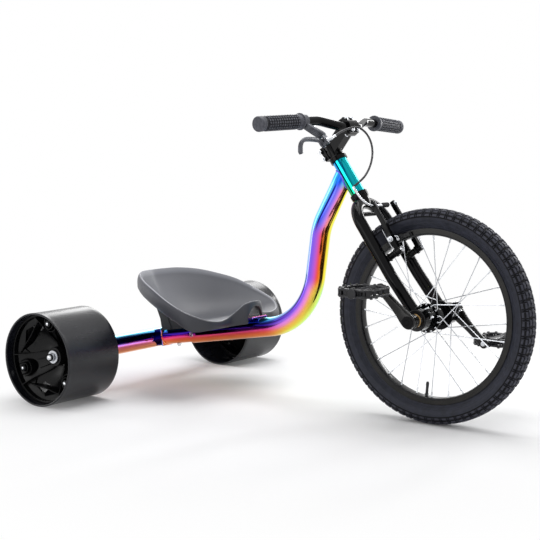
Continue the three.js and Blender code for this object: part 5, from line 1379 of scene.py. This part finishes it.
def spokes():
    for side, hand in ((1, "left"), (-1, "right")):
        wires, nipples = Shape(), Shape()
        for start, end in spoke_ends(side):
            way = (end - start).normalized()
            inner = Vector((start.x, 0, start.z)).normalized()
            hole = Vector((inner.x * 31, side * 30, inner.z * 31))
            bend = [hole + Vector((0, side * 3.4, 0)), hole + Vector((0, side * 1.4, 0)),
                    hole + Vector((inner.x * 2.4, side * 0.7, inner.z * 2.4)), start + way * 3, end - way * 4]
            wires.tube(centripetal(bend[:4], 4)[:-1] + [bend[3], bend[4]], 1.05, 10)
            wires.turned([(1.4, 2.8), (2.2, 3.0), (2.3, 3.5), (1.5, 4.1), (0.6, 4.3)], 12,
                         place=Matrix.Translation(hole)
                         @ (Matrix() if side > 0 else Matrix.Rotation(math.pi, 4, "X")))
            length = 14
            nipples.turned([(1.15, 0), (1.8, 0.3), (1.95, 1.2), (1.95, length - 4), (2.4, length - 3),
                            (2.4, length - 0.4)], 12, place=along(end - way * (length - 3), end + way * 3))
        piece(wires, f"spokes_laced_{hand}", "front_wheel", drawn_stainless,
              [f"spokes_{hand}"])
        piece(nipples, f"spoke_nipples_{hand}", "front_wheel", zinc_plate)


def hub_details():
    shape = Shape()
    for side in (-1, 1):
        low, high = sorted((side * 28.6, side * 31.4))
        shape.turned([(25, low - 0.3), (28, low + 0.4 * (side < 0)), (28, high), (25, high + 0.3)], 64,
                     wrap=True)
        shape.turned([(33.6, low), (34.6, low + 0.5), (34.6, high - 0.5), (33.6, high)], 64, wrap=True)
    shape.turned([(24, -13), (24.6, -12.4), (25, -11), (25, 11), (24.6, 12.4), (24, 13)], 64, wrap=True)
    piece(shape, "hub_bands", "front_wheel", gloss_enamel, crease=40)
    valve = Shape()
    outward = polar(1, math.radians(265.6))
    valve.turned([(1.2, 0), (3.4, 0.2), (3.8, 1.2), (3.8, 7.4), (3.3, 8), (3.3, 26), (4.6, 26.6), (4.6, 29),
                  (3.4, 29.4), (3.4, 33)], 20, place=along(outward * 158.2, outward * 192))
    piece(valve, "valve_cap", "front_wheel", dull_rubber)


# Cranks and pedals

CRANK_TURN, CRANK_LENGTH = math.radians(137), 105
# Pedal: the middle of its cage across, and half its length and width
PEDAL_ACROSS, PEDAL_LONG, PEDAL_WIDE = 180, 45, 50


def crank(side, hand, turn):
    """A forged arm, broad and rounded at its boss, waisted, and thick again at the pedal eye."""
    place = HUB_FRAME @ Matrix.Rotation(-turn, 4, "Y")
    run = [
        (-16.4, 5), (-13, 10.5), (-7, 15.2), (0, 17), (9, 17), (20, 15.6), (34, 13.4), (50, 11.6), (66, 10.6),
        (80, 10.2), (93, 10.6), (101, 11.4), (107, 11.2), (112, 9.4), (115.4, 5),
    ]
    smooth = flowing([(x, h, 0) for x, h in run], 3)
    rings = []
    for p in smooth:
        share = smooth_share(p.x, 8, 34)
        front = 118.4 - 2.6 * share
        back = 104.2 - 0.4 * share
        middle, half = (front + back) / 2, (front - back) / 2
        rings.append([Vector((p.x, side * (middle + half * c), p.y * s)) for c,
                      s in squared_round(28, 0.45, 0.62)])
    arm = Shape().loft(rings)
    piece(arm, f"crank_forged_{hand}", "cranks", crank_satin, [f"crank_{hand}"], place,
          crease=50)
    low, flip = 92.4, facing(side)
    boss = Shape()
    boss.turned([(10.4, low), (16.2, low), (17, low + 0.8), (17, 100), (17.6, 103), (17.6, 106), (10.4, 106)],
                64, wrap=True, place=flip)
    piece(boss, f"crank_boss_{hand}", "cranks", crank_satin)
    cap = Shape().turned([(10.2, 112), (14.2, 117), (14.4, 119.8), (13.6, 120.6), (7, 120.8), (6.6, 120.2),
                          (5.8, 120.2), (5.4, 120.8), (3, 120.9)], 48, place=flip)
    piece(cap, f"crank_cap_{hand}", "cranks", gloss_enamel)
    sleeve = Shape().turned([(10.3, 82), (15.2, 82), (15.8, 82.6), (15.8, 84.6), (14.6, 85.4), (14.6, 88.6),
                             (15.6, 89.4), (15.6, 91.6), (14.8, 92.2), (10.3, 92.2)], 48, wrap=True,
                            place=flip)
    piece(sleeve, f"crank_spacer_{hand}", "cranks", turned_bronze)
    collar = Shape().turned([(21.2, 73.4), (23.8, 73.4), (24.6, 74.2), (24.6, 80), (23.4, 81), (16.4, 81),
                             (16, 80.2), (16, 76), (21.2, 75)], 64, wrap=True, place=flip)
    piece(collar, f"hub_dust_cap_{hand}", "steering", satin_powder, place=HUB_FRAME)


def pedal(side, hand):
    turn = CRANK_TURN if side < 0 else CRANK_TURN + math.pi
    place = HUB_FRAME @ Matrix.Translation(polar(CRANK_LENGTH, turn) * MM)
    cage = Shape()
    outer = [(45, 38), (45, -38), (33, -50), (-33, -50), (-45, -38), (-45, 38), (-33, 50), (33, 50)]
    # Two rails round the cage, above and below, with open sides between them
    for lift in (-1, 1):
        low, high = 4.6 * lift, 9.6 * lift
        loops = []
        for inset, height in ((0.8, low), (0, low + 0.8 * lift), (0, high - 1 * lift), (1, high), (7.6, high),
                              (8.6, high - 1 * lift), (8.6, low + 0.8 * lift), (7.8, low)):
            longer, wider = (PEDAL_LONG - inset) / PEDAL_LONG, (PEDAL_WIDE - inset * 1.2) / PEDAL_WIDE
            loops.append([Vector((x * longer, side * PEDAL_ACROSS + y * wider, height)) for x, y in outer])
        cage.loft(loops, wrap=True)
    piece(cage, f"pedal_cage_{hand}", f"{hand}_pedal", pedal_plastic, [f"pedal_{hand}"],
          place, bevel=0.7)
    posts = Shape()

    def post(start, end, wide, thick):
        """A strut between the rails, from one plan place to another, full height."""
        start, end = Vector((*start, 0)), Vector((*end, 0))
        way = end - start
        turn = Matrix.Rotation(math.atan2(way.y, way.x), 4, "Z")
        middle = (start + end) / 2
        posts.box((way.length, wide, thick), (middle.x, side * PEDAL_ACROSS + middle.y, 0), turn)

    for sx in (-1, 1):
        # Solid corners, posts along the ends, and slanting braces
        for end in (-1, 1):
            post((sx * 41, end * 38), (sx * 34, end * 45), 6, 18)
            post((sx * 16, end * 44.6), (sx * 23, end * 46.6), 4, 14)
            post((sx * 28, end * 42), (sx * 31, end * 48), 3.4, 12)
            post((sx * 10, end * 44), (sx * 38, end * 26), 3.2, 9)
        for y in (-20, 4, 26):
            post((sx * 38, y - 3), (sx * 43, y + 3), 4.2, 12)
        for y, far_y in ((12, 4), (-12, -10)):
            post((sx * 10, y), (sx * 38, far_y), 3.2, 9)
    piece(posts, f"pedal_struts_{hand}", f"{hand}_pedal", pedal_plastic, place=place,
          bevel=0.5)
    core = Shape()
    flip = facing(side)
    core.turned([(6.8, 130.6), (10, 130.6), (11, 131.6), (11, 146), (9.6, 149), (9.6, 208), (11, 212),
                 (11.6, 224), (11.9, 230.4), (12.2, 231), (12.2, 233.6), (11.4, 234.6), (10.4, 234.8),
                 (10, 234), (2, 234)], 48, place=flip)
    piece(core, f"pedal_barrel_{hand}", f"{hand}_pedal", pedal_plastic, place=place)
    teeth = Shape()
    for x, y in ((41, -34), (41, -12), (41, 12), (41, 34), (26, -46), (-26, -46), (0, -46), (26, 46), (0, 46),
                 (-26, 46), (-41, -34), (-41, -12), (-41, 12), (-41, 34)):
        for lift in (-1, 1):
            base = Vector((x, side * PEDAL_ACROSS + y, lift * 9.2))
            teeth.loft([[base + Vector((reach * cx, reach * cy, lift * height))
                         for cx, cy in ((1, -1), (1, 1), (-1, 1), (-1, -1))]
                        for reach, height in ((2.8, 0), (2.3, 2.6), (1.2, 3.2))])
    piece(teeth, f"pedal_teeth_{hand}", f"{hand}_pedal", pedal_plastic, place=place)


# Crank: forged steel under a thin satin coat that goes brown at a glance
crank_satin = finish("satin_coated_forged_steel", ("#0c0b0b", "#141312"), 26, 0.7, 0.004, (0.16, 0.24),
                     Specular_IOR_Level=0.28)
# Pedal: glass filled polypropylene, dull charcoal
pedal_plastic = finish("glass_filled_charcoal_polypropylene", ("#19191c", "#242428"), 16, 0.9, 0.02,
                       (0.3, 0.42), IOR=1.49, Specular_IOR_Level=0.35)


# Rear drums

def drum(side, hand):
    body = f"{hand}_drum_wheel"
    profile = [(113.2, 267.4), (113.6, 266.6), (116.4, 266.2), (117.6, 267), (118, 268.6), (117.9, 280),
               (117.7, 320), (117.7, 380), (117.9, 425), (118, 433.4), (118.3, 435.6), (118.2, 437.6),
               (117.3, 438.8), (115.8, 439.2), (114.3, 438.7), (113.4, 437.4), (113, 434), (113, 400)]
    flip = facing(side)
    shape = Shape().turned(profile, 160, wrap=True, place=flip)
    piece(shape, f"drum_sleeve_{hand}", body, blown_plastic, [f"drum_{hand}"], crease=40)


HUB_WALL, CORE_REACH, BOSS_REACH = 24, 107.7, 90.2
# Where the faces of the arms lie along the axle, at the hub and at the ring
FACE_INNER, FACE_OUTER = 344, 404


def core_web(radius):
    """How far out along the axle the outer face of an arm lies at a radius."""
    return FACE_INNER + (FACE_OUTER - FACE_INNER) * clamped((radius - HUB_WALL) / (CORE_REACH - HUB_WALL))


def core_rib(ribs, flip, path, height, width):
    """A rib along pairs of radius and angle, standing off the face of the arm by its height at a radius."""
    spots = [polar(radius, a) for radius, a in path]
    rings = []
    for i, (radius, _) in enumerate(path):
        way = way_at(spots, i)
        across = Vector((-way.z, 0, way.x)) * width / 2
        base, top = core_web(radius) - 2, core_web(radius) + height(radius)
        rings.append([flip @ (spots[i] + across * share + Vector((0, y, 0))) for share, y in (
            (1, base), (0.8, top - 0.5), (0.4, top), (-0.4, top), (-0.8, top - 0.5), (-1, base))])
    ribs.loft(rings)


def fan_half(radius):
    """Half the spread of an arm at a radius: wide at the hub, narrow midway, wide again at the ring."""
    if radius <= 38:
        return math.radians(60 - 26 * (radius - 23.5) / 14.5)
    if radius < 94:
        return math.radians(34 - 10 * smooth_share(radius, 38, 80))
    return math.radians(24 + 36 * smooth_share(radius, 92, 100))


def core_arm(arms, flip, middle):
    """One arm and the dished panel that follows it, with an opening near the ring."""
    rings = []
    for radius in (23.5, 30, 38, 48, 60, 72, 84, 94, 102, 108.2):
        turns = [middle + fan_half(radius) * (2 * n / 16 - 1) for n in range(17)]
        rings.append([flip @ polar(radius, a, core_web(radius)) for a in turns]
                     + [flip @ polar(radius, a, core_web(radius) - 5.6) for a in reversed(turns)])
    arms.loft(rings)
    centre = middle + math.pi / 3
    # The panel in four parts, by angle and by radius
    for start, end, first, last in (
            (-36, 36, 30, 82), (-36, -24, 82, 106), (-8, 36, 82, 106), (-24, -8, 99, 106)):
        rings = []
        for i in range(9):
            radius = first + (last - first) * i / 8
            depth = 16 * math.sin(math.pi * clamped((radius - 24) / 84))
            row = []
            for n in range(9):
                d = math.radians(start + (end - start) * n / 8)
                dish = depth * max(0, 1 - (d / math.radians(38)) ** 2)
                row.append(polar(radius, centre + d, core_web(radius) - 3 - dish))
            rings.append([flip @ p for p in row + [q - Vector((0, 2.4, 0)) for q in reversed(row)]])
        arms.loft(rings)


def core_walls(ribs, flip, middle):
    """The ribs of one arm, the walls and the boss for its screw, and the arc of wall that follows it."""
    for edge in (-1, 1):
        outer = [(r, middle + edge * math.radians(30 - 8 * smooth_share(r, 40, 84)))
                 for r in (28, 36, 46, 58, 70, 82, 94, 107.8)]
        core_rib(ribs, flip, outer, lambda r: 3 + 13 * smooth_share(r, 26, 104), 2.6)
        inner = [(r, middle + edge * math.radians(13 - 3 * smooth_share(r, 30, 60)))
                 for r in (26, 34, 44, 56, 66)]
        core_rib(ribs, flip, inner, lambda r: 9 - 4 * smooth_share(r, 30, 66), 2.4)
    # The U-shaped walls round the boss, open towards the ring
    boss, out = polar(BOSS_REACH, middle), polar(1, middle)
    loop = [boss + polar(14, middle + math.pi / 2 + math.pi * n / 12) for n in range(13)]
    loop = [loop[0] + out * 16] + loop + [loop[-1] + out * 16]
    for spread, lift in ((1.0, 15), (1.5, 9)):
        path = []
        for p in loop:
            q = boss + (p - boss) * spread
            path.append((min(q.length, 107.9), math.atan2(q.z, q.x)))
        core_rib(ribs, flip, path, lambda r: lift + core_web(92) - core_web(r), 2.2)
    foot = core_web(90)
    ribs.turned([(3.6, foot - 3), (8.2, foot - 3), (9, foot), (8.6, 410), (8, 410.8), (4.4, 410.8),
                 (3.6, 410)], 36, wrap=True, place=flip @ Matrix.Translation(boss))
    rings = []
    for n in range(13):
        radius, a = 101 - 20 * math.sin(math.pi * n / 12), middle + math.radians(24 + 72 * n / 12)
        rings.append([flip @ polar(radius - inset, a, y) for inset, y in (
            (0, 376), (0, 402), (1.4, 402.8), (2.6, 402), (2.6, 376))])
    ribs.loft(rings)


def drum_core(side, hand):
    """Three dished arms between the hub and a ring inside the drum, ribbed towards the outside."""
    body = f"{hand}_drum_wheel"
    flip = Matrix() if side > 0 else Matrix.Scale(-1, 4, (0, 1, 0))
    ring = Shape().turned([(107.8, 375.4), (112.6, 375.4), (112.7, 376), (112.7, 418.4), (112, 418.9),
                           (108.6, 418.9), (107.7, 418)], 128, wrap=True, place=flip)
    piece(ring, f"core_ring_{hand}", body, moulded_nylon, [f"drum_core_{hand}"])
    hub = Shape().turned([(7.9, 275), (17, 263), (23.2, 263), (24, 263.8), (24, 330), (25, 345),
                          (24.6, 378.6), (23.8, 379.8), (21.4, 380), (20.8, 379.2), (18, 379.2), (17.6, 378),
                          (17.6, 364), (7.9, 364)], 72, wrap=True, place=flip)
    piece(hub, f"core_hub_{hand}", body, moulded_nylon)
    arms, ribs, bolts = Shape(), Shape(), Shape()
    for k in range(3):
        middle = math.radians(82 + 120 * k)
        core_arm(arms, flip, middle)
        core_walls(ribs, flip, middle)
        bolts.turned([(2.6, 390), (2.6, 410), (4.4, 410), (4.6, 410.6), (4.2, 413.2), (2.6, 414.4),
                      (1, 414.7)], 32, place=flip @ Matrix.Translation(polar(BOSS_REACH, middle)))
    piece(arms, f"core_arms_{hand}", body, moulded_nylon, crease=40)
    piece(ribs, f"core_ribs_{hand}", body, moulded_nylon, crease=40)
    piece(bolts, f"core_screws_{hand}", body, zinc_plate)
    washer = Shape().turned([(7.8, 374.6), (14.8, 374.6), (15.2, 375), (15.2, 375.7), (7.8, 375.7)], 48,
                            wrap=True, place=flip)
    piece(washer, f"axle_washer_{hand}", "frame", zinc_plate, place=AXLE)
    tip = Shape().turned([(5.6, 380), (6, 386), (8.4, 386.4), (9.4, 387.4), (9.6, 393), (8.6, 397),
                          (6, 400.2), (3, 401.6), (0.4, 402)], 40, place=flip)
    piece(tip, f"axle_cap_nut_{hand}", "frame", zinc_plate, place=AXLE)
    cover = Shape().turned([(10.6, 376), (10.6, 384.6), (11, 385), (16.4, 385), (17, 384.4), (17, 376)], 56,
                           place=flip)
    piece(cover, f"bearing_dust_cover_{hand}", "frame", ground_steel, place=AXLE)


# Nodes whose shape is right keep it: their edges are eased and their facets smoothed by modifiers

def smooth_group(name, angle):
    """Geometry nodes that join split corners and shade smooth up to an angle."""
    group = bpy.data.node_groups.new(name, "GeometryNodeTree")
    group.interface.new_socket(name="Geometry", in_out="INPUT", socket_type="NodeSocketGeometry")
    group.interface.new_socket(name="Geometry", in_out="OUTPUT", socket_type="NodeSocketGeometry")
    start, end = group.nodes.new("NodeGroupInput"), group.nodes.new("NodeGroupOutput")
    merge = group.nodes.new("GeometryNodeMergeByDistance")
    merge.inputs["Distance"].default_value = 0.01 * MM
    smooth = group.nodes.new("GeometryNodeSetShadeSmooth")
    smooth.domain = "FACE"
    sharp = group.nodes.new("GeometryNodeSetShadeSmooth")
    sharp.domain = "EDGE"
    sharp.inputs["Shade Smooth"].default_value = False
    edge = group.nodes.new("GeometryNodeInputMeshEdgeAngle")
    wide = group.nodes.new("FunctionNodeCompare")
    wide.data_type, wide.operation = "FLOAT", "GREATER_THAN"
    wide.inputs["B"].default_value = angle
    links = group.links
    links.new(start.outputs[0], merge.inputs["Geometry"])
    links.new(merge.outputs["Geometry"], smooth.inputs["Geometry"])
    links.new(edge.outputs["Unsigned Angle"], wide.inputs["A"])
    links.new(smooth.outputs["Geometry"], sharp.inputs["Geometry"])
    links.new(wide.outputs["Result"], sharp.inputs["Selection"])
    links.new(sharp.outputs["Geometry"], end.inputs[0])
    return group


def keep_nodes():
    group = smooth_group("joined_and_smoothed", math.radians(32))
    enamelled = ("stem", "stem_faceplate", "headset_cup_upper", "headset_cup_lower", "hub_shell")
    coats = {"freewheel": ground_steel, "inner_tube": dull_rubber, **dict.fromkeys(enamelled, gloss_enamel)}
    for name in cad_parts:
        made = bpy.data.objects.get(name)
        if made is None:
            continue
        coat = coats.get(name, ground_steel if "bearing" in name else zinc_plate)
        for slot in made.material_slots:
            slot.link = "OBJECT"
            slot.material = coat
        join = made.modifiers.new("joined_and_smoothed", "NODES")
        join.node_group = group
        ease_edges(made, "eased_edges", 0.5)


# The whole trike and its studio

for build in (aim_camera, studio, main_tube, head_tube, axle_beam, rear_fittings, seat_plate, seat, fork,
              handlebar, stem_hardware, lever_perch, brake_lever, brake_cable, noodle_and_boot, tyre, rim,
              spokes, hub_details):
    build()
for side, hand in ((1, "left"), (-1, "right")):
    grip(side, hand)
    brake_arm(side, hand)
    crank(side, hand, CRANK_TURN + (math.pi if side > 0 else 0))
    pedal(side, hand)
    drum(side, hand)
    drum_core(side, hand)
keep_nodes()
